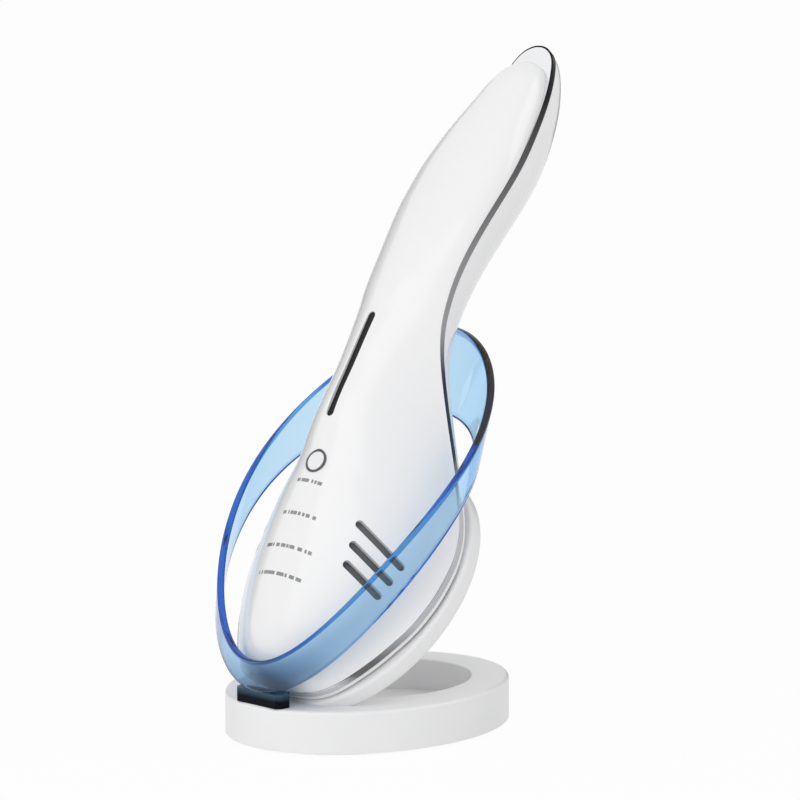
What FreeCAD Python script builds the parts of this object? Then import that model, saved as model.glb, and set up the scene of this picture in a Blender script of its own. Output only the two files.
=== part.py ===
import FreeCAD, Part
import math
import os
from collections import namedtuple

os.makedirs("parts", exist_ok=True)

# Face massager on a leaning stand. Millimetres and degrees, +Z up, front towards -Y.
# The origin is the middle of the stand's underside.

# Stand base
base_length = 84.6
base_width = 66.8
base_height = 12.0
base_wall = 2.2
base_roof = 2.2
base_edge_radius = 1.0
well_front_band = 21.7
well_back_band = 10.9
well_side_band = 11.7
well_wall = 1.8
well_floor = 1.2
well_edge_radius = 0.6
cover_thickness = 1.6
cover_play = 0.15
pad_thickness = 0.6
pad_inset = 2.4
cover_screw_shank_radius = 1.0
cover_screw_head_radius = 1.9
cover_screw_head_height = 0.9
cover_boss_radius = 2.6
cover_screw_bite = 5.0
cover_boss_side_share = 0.67
cover_boss_end_share = 0.53

# Leaning back plate of the stand
lean = 43.4
plate_foot_inset = 11.5
plate_margin = 1.1
plate_half_length = 39.5
plate_centre_up = 37.7
plate_thickness = 5.4
plate_edge_radius = 1.1
tongue_half_width = 9.0
tongue_depth = 6.4
tongue_thickness = 5.0
tongue_play = 0.1

# Clear holder ring
ring_wall = 2.0
ring_play = 0.9
ring_foot_width = 17.2
ring_foot_depth = 5.4
ring_foot_height = 5.6
ring_foot_inset = 0.7
ring_foot_chamfer = 1.4
ring_screw_bite = 3.5
# Rims of the ring: forwards from the plate's foot, up from the base's top, and free room behind the handset
ring_upper_front_reach = 12.7
ring_upper_front_height = 12.3
ring_upper_back_room = 2.3
ring_upper_back_height = 93.2
ring_upper_middle_height = 58.0
ring_upper_climb = 33.6
ring_upper_egg_share = 0.08
ring_lower_front_reach = 10.8
ring_lower_front_height = 4.5
ring_lower_back_room = 7.1
ring_lower_back_height = 70.2
ring_lower_middle_height = 45.7
ring_lower_climb = 30.7
ring_lower_egg_share = -0.03
rim_points = 28

# Handset outline
handset_length = 187.0
handset_start = 0.4
head_overhang = 0.2
grip_half_width = 15.5
trim_centre = 3.0
grip_rise = 37.9
crest_height = 32.0
grip_front = 9.6
lip_depth = 2.65
grip_rear = 15.0
shell_wall = 2.0
trim_height = 2.0
trim_proud = 0.2
trim_width = 2.0
trim_gap = 0.12
tip_setback = 5.5
tip_power = 8.0
inner_play = 0.2
overrun = 1.5

# Stations along the handset from its lower end to its tip. Widths are shares of the head and the grip,
# the rise is a share of the grip's rise, the front a share of the crest and of the grip's front,
# the rear a share of the grip's rear. Bell shapes the front arch, square the rear one.
Station = namedtuple("Station", "along head grip rise crest front rear bell square")
station_shares = (
    Station(0.001, 0.15, 0.0, 0.0, 0.12, 0.0, 0.0, 0.90, 0.40),
    Station(0.006, 0.35, 0.0, 0.0, 0.27, 0.0, 0.0, 0.90, 0.40),
    Station(0.020, 0.50, 0.0, 0.0, 0.40, 0.0, 0.0, 0.95, 0.40),
    Station(0.050, 0.66, 0.0, 0.0, 0.53, 0.0, 0.0, 1.05, 0.40),
    Station(0.100, 0.84, 0.0, 0.0, 0.67, 0.0, 0.0, 1.10, 0.40),
    Station(0.150, 0.96, 0.0, 0.0, 0.77, 0.0, 0.0, 1.15, 0.40),
    Station(0.200, 1.00, 0.0, 0.0, 0.865, 0.0, 0.0, 1.20, 0.40),
    Station(0.245, 0.985, 0.0, 0.0, 0.94, 0.0, 0.0, 1.20, 0.42),
    Station(0.285, 0.92, 0.0, 0.004, 0.985, 0.0, 0.02, 1.20, 0.50),
    Station(0.330, 0.83, 0.0, 0.090, 0.99, 0.0, 0.10, 1.20, 0.62),
    Station(0.370, 0.65, 0.18, 0.215, 0.92, 0.0, 0.25, 1.20, 0.74),
    Station(0.415, 0.44, 0.42, 0.390, 0.71, 0.15, 0.42, 1.15, 0.86),
    Station(0.460, 0.25, 0.66, 0.580, 0.43, 0.50, 0.58, 1.10, 0.94),
    Station(0.500, 0.10, 0.86, 0.740, 0.18, 0.84, 0.72, 1.05, 1.0),
    Station(0.545, 0.0, 0.99, 0.860, 0.0, 1.12, 0.82, 0.92, 1.0),
    Station(0.600, 0.0, 0.955, 0.940, 0.0, 1.00, 0.90, 0.82, 1.0),
    Station(0.650, 0.0, 0.97, 0.980, 0.0, 0.95, 0.94, 0.70, 1.0),
    Station(0.700, 0.0, 1.00, 1.000, 0.0, 0.95, 0.975, 0.60, 1.0),
    Station(0.750, 0.0, 1.00, 0.998, 0.0, 0.97, 1.00, 0.52, 1.0),
    Station(0.800, 0.0, 0.95, 0.986, 0.0, 1.00, 1.00, 0.46, 1.0),
    Station(0.840, 0.0, 0.86, 0.977, 0.0, 1.03, 0.96, 0.43, 1.0),
    Station(0.880, 0.0, 0.75, 0.974, 0.0, 1.01, 0.87, 0.42, 1.0),
    Station(0.925, 0.0, 0.63, 0.988, 0.0, 0.93, 0.725, 0.42, 1.0),
    Station(0.960, 0.0, 0.505, 1.012, 0.0, 0.75, 0.54, 0.42, 1.0),
    Station(0.985, 0.0, 0.365, 1.036, 0.0, 0.48, 0.33, 0.45, 1.0),
    Station(0.999, 0.0, 0.17, 1.05, 0.0, 0.22, 0.09, 0.48, 1.0),
)
arch_steps = 12

# Controls on the front ridge, placed along the handset
button_along = 53.4
button_radius = 2.7
button_play = 0.15
button_proud = 0.3
button_travel = 0.4
button_cap_depth = 3.2
button_flange_radius = 3.5
button_flange_height = 0.7
button_stem_radius = 1.2
button_dome = 0.25
bezel_band = 0.5
bezel_depth = 1.2
bezel_proud = 0.12
slot_start_along = 65.0
slot_end_along = 95.4
slot_width = 2.6
window_recess = 0.5
window_depth = 1.6
window_play = 0.08
board_depth = 9.0
board_thickness = 1.2
board_half_width = 8.0
board_below = 12.0
board_beyond = 2.0
switch_size = 6.0
switch_height = 3.5
switch_gap = 0.2
led_count = 5
led_length = 3.0
led_height = 0.8

# Air slots on both flanks: sideways and along place of each end, as shares of the head and the handset
Vent = namedtuple("Vent", "inner_x inner_along outer_x outer_along")
vent_shares = (
    Vent(0.485, 0.226, 0.774, 0.204),
    Vent(0.497, 0.196, 0.753, 0.177),
    Vent(0.503, 0.168, 0.723, 0.152),
)
vent_width = 2.2
screen_thickness = 0.6
screen_margin = 1.6

# Treatment face on the flat back of the head
face_centre_along = 31.0
face_width_share = 0.595
face_half_length = 18.5
face_gap = 0.35
face_flange = 1.6
face_flange_thickness = 0.8
face_play = 0.1
lens_radius = 8.0
lens_flange = 1.4
lens_flange_thickness = 0.9
led_board_radius = 15.0
led_board_thickness = 1.2
sink_half_width = 12.0
sink_half_length = 10.0
sink_base = 2.0
sink_height = 9.0
fin_count = 6
fin_thickness = 1.2
contact_radius = 2.0
contact_x = 5.0
contact_along = 7.5
shell_screw_side_share = 0.64
shell_screw_low_along = 17.0
shell_screw_high_along = 55.0
shell_screw_head_radius = 1.9
shell_screw_head_height = 0.9
shell_screw_radius = 0.9
shell_screw_length = 7.0
shell_boss_radius = 2.3

# Drive and power inside the neck and the grip
bulkhead_shares = (0.361, 0.426, 0.479)
bulkhead_thickness = 2.0
rail_width = 2.0
rail_height = 3.0
motor_front = 23.4
motor_radius = 4.0
motor_start_along = 78.5
motor_length = 13.5
motor_fit = 0.05
shaft_radius = 0.75
shaft_length = 6.0
shaft_play = 0.08
weight_radius = 3.4
weight_length = 4.0
weight_gap = 1.0
battery_radius = 8.0
battery_front = 35.0
battery_start_along = 109.0
battery_length = 49.0
battery_play = 0.1
battery_cap_radius = 2.8
battery_cap_height = 1.0
saddle_count = 3
saddle_thickness = 3.0
saddle_margin = 4.0
saddle_rail_half_width = 3.0

# Charging contacts and inlet in the stand
pin_radius = 0.9
pin_play = 0.08
pin_bite = 3.4
pin_reach = 0.28
barrel_wall = 0.4
barrel_depth = 4.4
charge_board_width = 12.0
charge_board_depth = 5.4
charge_board_thickness = 1.2
charge_foot_width = 3.0
charge_board_back_gap = 1.0
inlet_width = 8.9
inlet_height = 3.2
inlet_depth = 5.6
inlet_wall = 0.4
inlet_round_share = 0.4
inlet_play = 0.15
inlet_tongue_width = 6.4
inlet_tongue_height = 0.7
inlet_tongue_share = 0.7
inlet_roof_gap = 0.3
parallel_share = 0.9

head_half_width = base_width / 2 + head_overhang
face_half_width = head_half_width * face_width_share
shell_screw_x = head_half_width * shell_screw_side_share
plate_half_width = head_half_width + plate_margin
plate_foot_y = plate_foot_inset - base_length / 2
ring_foot_front_y = ring_foot_inset - base_length / 2
ring_foot_back_y = ring_foot_front_y + ring_foot_depth
ring_foot_top = base_height + ring_foot_height
ring_screw_y = base_wall + cover_screw_head_radius + cover_play - base_length / 2
well_length = base_length - well_front_band - well_back_band
well_width = base_width - 2 * well_side_band
well_shift = (well_front_band - well_back_band) / 2

X = FreeCAD.Vector(1, 0, 0)
Y = FreeCAD.Vector(0, 1, 0)
Z = FreeCAD.Vector(0, 0, 1)
ORIGIN = FreeCAD.Vector(0, 0, 0)
FULL_TURN = 2 * math.pi


def save(name, *solids):
    """Write one named piece, or a group of like pieces, to its file."""
    shape = solids[0] if len(solids) == 1 else Part.makeCompound(list(solids))
    shape.exportStep(f"parts/{name}.step")


def spot(x, front, along):
    """Point in the handset's own frame: sideways, out of the plate, up along the plate."""
    return FreeCAD.Vector(x, -front, along)


def seat(shape):
    """Turn a piece from the handset's own frame to its place on the stand."""
    shape.rotate(ORIGIN, X, -lean)
    shape.translate(FreeCAD.Vector(0, plate_foot_y, base_height))
    return shape


def oval_wire(half_x, half_y, centre):
    """Flat oval in the XY plane, its longer half length found by itself."""
    x_end = centre + X * half_x
    y_end = centre + Y * half_y
    first, second = (x_end, y_end) if half_x >= half_y else (y_end, x_end)
    if half_x == half_y:
        return Part.Wire(Part.Circle(centre, Z, half_x).toShape())
    return Part.Wire(Part.Ellipse(first, second, centre).toShape())


def oval_prism(half_x, half_y, bottom, top, y_shift=0.0):
    """Upright oval block between two heights."""
    face = Part.Face(oval_wire(half_x, half_y, FreeCAD.Vector(0, y_shift, bottom)))
    return face.extrude(Z * (top - bottom))


def block(x_low, x_high, y_low, y_high, z_low, z_high):
    """Box between two corners."""
    return Part.makeBox(x_high - x_low, y_high - y_low, z_high - z_low, FreeCAD.Vector(x_low, y_low, z_low))


def rod(radius, start, direction, length):
    """Round bar from a point along a direction."""
    return Part.makeCylinder(radius, length, start, direction)


def outward(solid):
    """The same solid with its faces turned outwards."""
    if solid.Volume < 0:
        solid.reverse()
    return solid


def single(shape):
    """The largest solid of a cut."""
    return max(shape.Solids, key=lambda solid: abs(solid.Volume))


def along_at(share):
    """Place along the handset of a share of its length."""
    return handset_start + share * handset_length


def smooth_value(places, values, place):
    """Cubic through given places whose slopes are limited, so that it never overshoots."""
    steps = [b - a for a, b in zip(places, places[1:])]
    rises = [(b - a) / step for a, b, step in zip(values, values[1:], steps)]
    slopes = [rises[0]]
    for before, after in zip(rises, rises[1:]):
        slopes.append(0.0 if before * after <= 0 else 2 * before * after / (before + after))
    slopes.append(rises[-1])
    index = max(0, min(len(steps) - 1, sum(place >= here for here in places) - 1))
    t = (place - places[index]) / steps[index]
    start = (1 + 2 * t) * (1 - t) ** 2 * values[index] + t * (1 - t) ** 2 * steps[index] * slopes[index]
    end = t * t * (3 - 2 * t) * values[index + 1] + t * t * (t - 1) * steps[index] * slopes[index + 1]
    return start + end


Section = namedtuple("Section", "along half_width parting front rear bell square")


def section_of(station):
    """Real sizes of the handset at one station."""
    return Section(
        along_at(station.along),
        station.head * head_half_width + station.grip * grip_half_width,
        trim_centre + station.rise * grip_rise,
        station.crest * crest_height + station.front * grip_front,
        lip_depth + station.rear * grip_rear,
        station.bell,
        station.square,
    )


sections = [section_of(station) for station in station_shares]


def vent_of(shares):
    """Real places of the ends of one air slot."""
    inner_x, outer_x = shares.inner_x * head_half_width, shares.outer_x * head_half_width
    return Vent(inner_x, along_at(shares.inner_along), outer_x, along_at(shares.outer_along))


vents = [vent_of(shares) for shares in vent_shares]


def section_at(along):
    """Sizes of the handset anywhere along it."""
    places = [section.along for section in sections]
    return Section(*[smooth_value(places, list(values), along) for values in zip(*sections)])


def ridge_at(along):
    """Height of the front ridge above the plate."""
    section = section_at(along)
    return section.parting + section.front


def flank_at(x, along):
    """Height of the front surface beside the ridge."""
    section = section_at(along)
    share = min(abs(x) / section.half_width, 1.0)
    arch = section.front - trim_height / 2
    return section.parting + trim_height / 2 + arch * (1 - share * share) ** section.bell


def arch_edge(points):
    """One smooth edge through the points of an arch, evenly spaced in its own measure."""
    curve = Part.BSplineCurve()
    curve.interpolate(Points=points, Parameters=[float(index) for index in range(len(points))])
    return curve.toShape()


def closed_section(points):
    """Arch closed by a straight sill."""
    return Part.Wire([arch_edge(points), Part.LineSegment(points[-1], points[0]).toShape()])


def front_arch(section, shrink, skirt, along):
    """Points of the front arch of a section, drawn in by a wall and lengthened past the joint."""
    half_width = section.half_width - shrink
    base = section.parting + trim_height / 2 - skirt
    height = section.front - trim_height / 2 - shrink + skirt
    points = []
    for step in range(arch_steps + 1):
        turn = math.pi * step / arch_steps
        lift = math.sin(turn) ** (2 * section.bell) if 0 < step < arch_steps else 0.0
        points.append(spot(half_width * math.cos(turn), base + height * lift, along))
    return points


def rear_arch(section, shrink, skirt, along):
    """Points of the rear arch of a section: flat under the head, round at the grip."""
    half_width = section.half_width - shrink
    base = section.parting - trim_height / 2 + skirt
    depth = section.rear - trim_height / 2 - shrink + skirt
    points = []
    for step in range(arch_steps + 1):
        turn = math.pi * step / arch_steps
        side = math.cos(turn)
        x = math.copysign(abs(side) ** section.square, side) if step * 2 != arch_steps else 0.0
        drop = math.sin(turn) ** section.square if 0 < step < arch_steps else 0.0
        points.append(spot(half_width * x, base - depth * drop, along))
    return points


def drawn_in(along_share, shrink, setback):
    """Place of a station once both ends are drawn in, the tip further by its setback."""
    run = handset_length - 2 * shrink
    return handset_start + shrink + along_share * run - setback * along_share ** tip_power


def front_section(section, shrink, skirt, along):
    """Closed front section at a place, on the joint of the shells at that place."""
    placed = section._replace(parting=section_at(along).parting)
    return closed_section(front_arch(placed, shrink, skirt, along))


def rear_section(section, shrink, skirt, along):
    """Closed rear section at a place, on the joint of the shells at that place."""
    placed = section._replace(parting=section_at(along).parting)
    return closed_section(rear_arch(placed, shrink, skirt, along))


# Smallest half width and height of a section that still holds a room
rear_room_least = shell_wall + inner_play + overrun / 2
front_room_least = rear_room_least + screen_thickness


def front_body(shrink, skirt):
    """Solid under the front arch. A shrunk one is the room inside the front shell."""
    least = front_room_least if shrink else overrun / 2
    wires = []
    for station, section in zip(station_shares, sections):
        if min(section.half_width, section.front - trim_height / 2) > least:
            along = drawn_in(station.along, shrink, tip_setback)
            wires.append(front_section(section, shrink, skirt, along))
    return Part.makeLoft(wires, True, False)


def rear_body(shrink, skirt):
    """Solid behind the rear arch. A shrunk one is the room inside the rear shell."""
    least = rear_room_least if shrink else 0.0
    wires = []
    for station, section in zip(station_shares, sections):
        if min(section.half_width, section.rear - trim_height / 2) > least:
            along = drawn_in(station.along, shrink, 0.0)
            wires.append(rear_section(section, shrink, skirt, along))
    return Part.makeLoft(wires, True, False)


def room_rib(along, thickness):
    """Flat rib across the room inside both shells, a little smaller than the room."""
    shrink = shell_wall + 2 * inner_play
    wires = []
    for place in (along - thickness / 2, along + thickness / 2):
        share = (place - handset_start - shrink) / (handset_length - 2 * shrink)
        section = section_at(along_at(share))._replace(parting=section_at(place).parting)
        front = front_arch(section, shrink, overrun, place)[1:-1]
        rear = rear_arch(section, shrink, overrun, place)[-2:0:-1]
        left = Part.LineSegment(front[-1], rear[0]).toShape()
        right = Part.LineSegment(rear[-1], front[0]).toShape()
        wires.append(Part.Wire([arch_edge(front), left, arch_edge(rear), right]))
    return Part.makeLoft(wires, True, True)


def trim_line(grow, lift, setback):
    """Closed line round the handset on the joint of the shells, grown or shrunk and lifted."""
    side = [(0.0, drawn_in(0.0, -grow, setback))]
    for station, section in zip(station_shares, sections):
        side.append((max(section.half_width + grow, trim_gap), drawn_in(station.along, -grow, setback)))
    side.append((0.0, drawn_in(1.0, -grow, setback)))
    loop = side + [(-x, along) for x, along in side[-2:0:-1]]
    return [spot(x, section_at(along).parting + lift, along) for x, along in loop]


def closed_edge(points, places):
    """Smooth closed edge through points at given places of its own measure."""
    curve = Part.BSplineCurve()
    curve.interpolate(Points=points, Parameters=places, PeriodicFlag=True)
    return curve.toShape()


def band_between(edges):
    """Solid ring whose four faces are ruled between neighbouring closed edges."""
    faces = [Part.makeRuledSurface(first, second) for first, second in zip(edges, edges[1:] + edges[:1])]
    shell = Part.makeShell(faces)
    shell.sewShape()
    return outward(Part.makeSolid(shell))


class RidgeFrame:
    """Straight line along the front ridge from one place to another, with its outward normal."""

    def __init__(self, start_along, end_along):
        self.start = spot(0, ridge_at(start_along), start_along)
        end = spot(0, ridge_at(end_along), end_along)
        self.length = (end - self.start).Length
        self.along = (end - self.start).normalize()
        self.out = self.along.cross(X).normalize()
        if self.out.y > 0:
            self.out = self.out * -1

    def point(self, x, along, depth):
        """Point beside the line, a way along it and a depth under it."""
        return self.start + X * x + self.along * along - self.out * depth

    def bar(self, half_width, low, high, top, bottom):
        """Straight bar between two places along the line and two depths."""
        corners = [(-half_width, low), (half_width, low), (half_width, high), (-half_width, high)]
        points = [self.point(x, along, bottom) for x, along in corners]
        face = Part.Face(Part.makePolygon(points + points[:1]))
        return face.extrude(self.out * (bottom - top))

    def rounded_bar(self, half_width, low, high, top, bottom):
        """Bar with half-round ends."""
        right = self.point(half_width, low + half_width, bottom)
        right_end = self.point(half_width, high - half_width, bottom)
        tip = self.point(0, high, bottom)
        left_end = self.point(-half_width, high - half_width, bottom)
        left = self.point(-half_width, low + half_width, bottom)
        heel = self.point(0, low, bottom)
        edges = [
            Part.LineSegment(right, right_end).toShape(),
            Part.Arc(right_end, tip, left_end).toShape(),
            Part.LineSegment(left_end, left).toShape(),
            Part.Arc(left, heel, right).toShape(),
        ]
        return Part.Face(Part.Wire(edges)).extrude(self.out * (bottom - top))


button_frame = RidgeFrame(button_along - button_radius, button_along + button_radius)
button_spot = spot(0, ridge_at(button_along), button_along)
slot_frame = RidgeFrame(slot_start_along, slot_end_along)
control_frame = RidgeFrame(button_along, slot_end_along)
bezel_radius = button_radius + button_play + bezel_band


def button_rod(radius, top, bottom):
    """Round bar on the button's axis between two heights, counted outwards from the ridge."""
    return rod(radius, button_spot + button_frame.out * bottom, button_frame.out, top - bottom)


def vent_cutter(vent, side):
    """Long rounded cutter square to the flank for one air slot."""
    inner = spot(side * vent.inner_x, flank_at(vent.inner_x, vent.inner_along), vent.inner_along)
    outer = spot(side * vent.outer_x, flank_at(vent.outer_x, vent.outer_along), vent.outer_along)
    run = (outer - inner).normalize()
    out = run.cross(Z).normalize()
    if out.y > 0:
        out = out * -1
    across = run.cross(out).normalize()
    half = vent_width / 2
    inner = inner - out * (2 * shell_wall)
    outer = outer - out * (2 * shell_wall)
    inner_low, inner_high = inner + across * half, inner - across * half
    outer_low, outer_high = outer + across * half, outer - across * half
    edges = [
        Part.LineSegment(inner_low, outer_low).toShape(),
        Part.Arc(outer_low, outer + run * half, outer_high).toShape(),
        Part.LineSegment(outer_high, inner_high).toShape(),
        Part.Arc(inner_high, inner - run * half, inner_low).toShape(),
    ]
    return Part.Face(Part.Wire(edges)).extrude(out * (2 * shell_wall + head_half_width / 2))


def screw_places():
    """Places of the four screws that hold the two shells of the head together."""
    for side in (-1, 1):
        for along in (shell_screw_low_along, shell_screw_high_along):
            yield side * shell_screw_x, along


rear_inside = trim_centre - trim_height / 2
front_outer = front_body(0.0, 0.0)
front_room = front_body(shell_wall, overrun)
front_fit = front_body(shell_wall + inner_play, overrun)
rear_outer = rear_body(0.0, 0.0)
rear_room = rear_body(shell_wall, overrun)
rear_fit = rear_body(shell_wall + inner_play, overrun)


def make_front_shell():
    """White front shell with its screw bosses, button seat, window slot and air slots."""
    shell = front_outer.cut(front_room)
    seat_level = trim_centre + trim_height / 2 + inner_play
    for x, along in screw_places():
        post = rod(shell_boss_radius, spot(x, seat_level, along), -Y, crest_height)
        shell = shell.fuse(post.common(front_outer))
    for x, along in screw_places():
        shell = shell.cut(rod(shell_screw_radius, spot(x, 0, along), -Y, shell_screw_length))
    cutters = [button_rod(bezel_radius, overrun, -bezel_depth)]
    cutters.append(button_rod(button_radius + button_play, overrun, -button_cap_depth))
    cutters.append(slot_frame.rounded_bar(slot_width / 2, 0, slot_frame.length, -overrun, 2 * shell_wall))
    cutters += [vent_cutter(vent, side) for vent in vents for side in (-1, 1)]
    for cutter in cutters:
        shell = shell.cut(cutter)
    return single(shell)


def face_oval(grow, low, high):
    """Oval plate on the back of the head between two heights above the stand's plate."""
    wire = oval_wire(face_half_width + grow, face_half_length + grow, ORIGIN)
    wire.rotate(ORIGIN, X, 90)
    wire.translate(spot(0, low, face_centre_along))
    return Part.Face(wire).extrude(spot(0, high - low, 0))


def face_rod(radius, low, high, x=0.0, along=face_centre_along):
    """Round bar square to the back of the head."""
    return rod(radius, spot(x, low, along), -Y, high - low)


def make_rear_shell():
    """White rear shell: flat under the head, hollow behind the grip."""
    shell = rear_outer.cut(rear_room)
    shell = shell.cut(face_oval(face_play, 0, rear_inside + overrun))
    for x, along in screw_places():
        shell = shell.cut(face_rod(shell_screw_radius, 0, rear_inside + overrun, x, along))
        head_top = face_gap + shell_screw_head_height
        shell = shell.cut(face_rod(shell_screw_head_radius, 0, head_top, x, along))
    for side in (-1, 1):
        hole = face_rod(contact_radius, 0, rear_inside + overrun, side * contact_x, contact_along)
        shell = shell.cut(hole)
    return single(shell)


def make_chrome_trim():
    """Bright band round the joint of the two shells, wide at the tip."""
    half = trim_height / 2 - trim_gap
    corners = ((trim_proud, half, 0.0), (-trim_width, half, tip_setback),
               (-trim_width, -half, tip_setback), (trim_proud, -half, 0.0))
    lines = [trim_line(*corner) for corner in corners]
    outline = lines[0] + lines[0][:1]
    places = [0.0]
    for before, after in zip(outline, outline[1:]):
        places.append(places[-1] + (after - before).Length)
    return band_between([closed_edge(line, places) for line in lines])


def make_button():
    """Button cap with a domed face, a flange that keeps it in and a stem to the switch."""
    cap = button_rod(button_radius, button_proud, -button_cap_depth)
    face_edge = max(cap.Edges, key=lambda edge: edge.CenterOfMass.dot(button_frame.out))
    cap = cap.makeFillet(button_dome, [face_edge])
    flange = button_rod(button_flange_radius, -button_cap_depth, -button_cap_depth - button_flange_height)
    stem_end = -(board_depth - switch_height - switch_gap - button_travel)
    stem = button_rod(button_stem_radius, -button_cap_depth, stem_end)
    return single(cap.fuse([flange, stem]))


def make_bezel():
    """Bright ring round the button."""
    ring = button_rod(bezel_radius, bezel_proud, -bezel_depth)
    return ring.cut(button_rod(button_radius + button_play, overrun, -bezel_depth - overrun))


def make_window():
    """Dark window of the indicator bar, set a little below the ridge."""
    half = slot_width / 2 - window_play
    end = slot_frame.length - window_play
    return slot_frame.rounded_bar(half, window_play, end, window_recess, window_depth)


def indicator_leds():
    """Row of small lamps on the main board under the window."""
    pitch = slot_frame.length / led_count
    first = (slot_frame.start - button_spot).dot(control_frame.along) + pitch / 2
    lamps = []
    for index in range(led_count):
        middle = first + index * pitch
        half = led_length / 2
        low, high = middle - half, middle + half
        lamps.append(control_frame.bar(slot_width / 2, low, high, board_depth - led_height, board_depth))
    return lamps


def make_light_guide():
    """Clear bar that carries light from the lamps up to the window."""
    half = slot_width / 2 - window_play
    low, high = slot_width, slot_frame.length - slot_width
    bar = slot_frame.bar(half, low, high, window_depth, board_depth + overrun)
    lamp_top = board_depth - led_height
    room_depth = 2 * board_depth
    room_length = 2 * slot_frame.length
    room = control_frame.bar(board_half_width, -board_below, room_length, lamp_top, room_depth)
    return single(bar.cut(room))


def make_main_board():
    """Circuit board under the button and the indicator bar."""
    high = control_frame.length + board_beyond
    under_board = board_depth + board_thickness
    return control_frame.bar(board_half_width, -board_below, high, board_depth, under_board)


def make_switch():
    """Small push switch on the main board under the button."""
    half = switch_size / 2
    depth = board_depth - switch_height
    body = control_frame.bar(half, -half, half, depth + switch_height / 3, board_depth)
    foot = control_frame.point(0, 0, board_depth)
    plunger = rod(button_stem_radius, foot, control_frame.out, switch_height)
    return single(body.fuse(plunger))


def make_inner_frame():
    """Frame of ribs and two rails that carries the main board and the motor."""
    under_board = board_depth + board_thickness
    high = control_frame.length
    above = control_frame.bar(head_half_width, -2 * high, 2 * high, -crest_height, under_board)
    bore_start = spot(0, motor_front, motor_start_along - shaft_length)
    bore = rod(motor_radius + motor_fit, bore_start, Z, handset_length / 2)
    pieces = []
    for share in bulkhead_shares:
        rib = room_rib(along_at(share), bulkhead_thickness)
        pieces.append(rib.cut(above).cut(bore))
    for side in (-1, 1):
        rail = control_frame.bar(rail_width / 2, -board_below, high, under_board, under_board + rail_height)
        rail.translate(X * side * (board_half_width - rail_width))
        pieces.append(rail)
    return single(pieces[0].fuse(pieces[1:]))


def make_motor():
    """Can of the vibration motor, held in two ribs of the frame, with its shaft's bore."""
    can = rod(motor_radius, spot(0, motor_front, motor_start_along), Z, motor_length)
    bore = rod(shaft_radius + shaft_play, spot(0, motor_front, motor_start_along), Z, motor_length / 2)
    return can.cut(bore)


def make_motor_shaft():
    """Motor shaft, from inside the can to the eccentric weight."""
    start = spot(0, motor_front, motor_start_along - shaft_length)
    return rod(shaft_radius, start, Z, shaft_length + motor_length / 2 - shaft_play)


def make_eccentric_weight():
    """Half-round weight pressed on the motor shaft."""
    start = motor_start_along - weight_gap - weight_length
    disc = rod(weight_radius, spot(0, motor_front, start), Z, weight_length)
    end = start + weight_length
    low_y = shaft_radius - motor_front
    low_half = block(-weight_radius, weight_radius, low_y, low_y + 2 * weight_radius, start, end)
    hub = rod(2 * shaft_radius, spot(0, motor_front, start), Z, weight_length)
    weight = disc.common(low_half).fuse(hub)
    bore = rod(shaft_radius, spot(0, motor_front, start - overrun), Z, handset_length / 2)
    return single(weight.cut(bore))


def make_battery():
    """Round cell in the grip, with its raised end cap."""
    cell = rod(battery_radius, spot(0, battery_front, battery_start_along), Z, battery_length)
    cap_start = spot(0, battery_front, battery_start_along + battery_length)
    cap = rod(battery_cap_radius, cap_start, Z, battery_cap_height)
    return single(cell.fuse(cap))


def make_battery_cradle():
    """Saddles on one rail, fitted to the rear shell, that carry the cell."""
    low = battery_start_along + saddle_margin
    high = battery_start_along + battery_length - saddle_margin
    pitch = (high - low - saddle_thickness) / (saddle_count - 1)
    pieces = []
    for index in range(saddle_count):
        start = low + index * pitch
        end = start + saddle_thickness
        pieces.append(block(-grip_half_width, grip_half_width, -battery_front, 0, start, end))
    rail = block(-saddle_rail_half_width, saddle_rail_half_width, -battery_front, 0, low, high)
    pieces.append(rail)
    cradle = pieces[0].fuse(pieces[1:]).common(rear_fit)
    bore = rod(battery_radius + battery_play, spot(0, battery_front, 0), Z, handset_length)
    return single(cradle.cut(bore))


def flange_low():
    """Height of the treatment plate's flange, a little above the rear shell's inner face."""
    return rear_inside + face_play


def make_treatment_plate():
    """Bright contact plate flush with the back of the head, with a flange inside and a window hole."""
    plate = face_oval(0.0, face_gap, flange_low())
    plate = plate.fuse(face_oval(face_flange, flange_low(), flange_low() + face_flange_thickness))
    return single(plate.cut(face_rod(lens_radius + face_play, 0, flange_low() + overrun)).removeSplitter())


def lens_top():
    """Height of the inner face of the light window."""
    return flange_low() + face_flange_thickness + lens_flange_thickness


def make_light_lens():
    """Clear light window in the treatment plate, with its flange."""
    lens = face_rod(lens_radius, face_gap, lens_top())
    flange = face_rod(lens_radius + lens_flange, flange_low() + face_flange_thickness, lens_top())
    return single(lens.fuse(flange))


def make_light_board():
    """Round board with the lamps of the light window."""
    return face_rod(led_board_radius, lens_top(), lens_top() + led_board_thickness)


def make_heat_sink():
    """Finned block on the light board, beside the air slots."""
    bottom = lens_top() + led_board_thickness
    low, high = face_centre_along - sink_half_length, face_centre_along + sink_half_length
    sink = block(-sink_half_width, sink_half_width, -(bottom + sink_base), -bottom, low, high)
    pitch = (2 * sink_half_width - fin_thickness) / (fin_count - 1)
    fins = []
    for index in range(fin_count):
        x = -sink_half_width + index * pitch
        fin_low, fin_high = bottom + sink_base / 2, bottom + sink_height
        fins.append(block(x, x + fin_thickness, -fin_high, -fin_low, low, high))
    return single(sink.fuse(fins))


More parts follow.
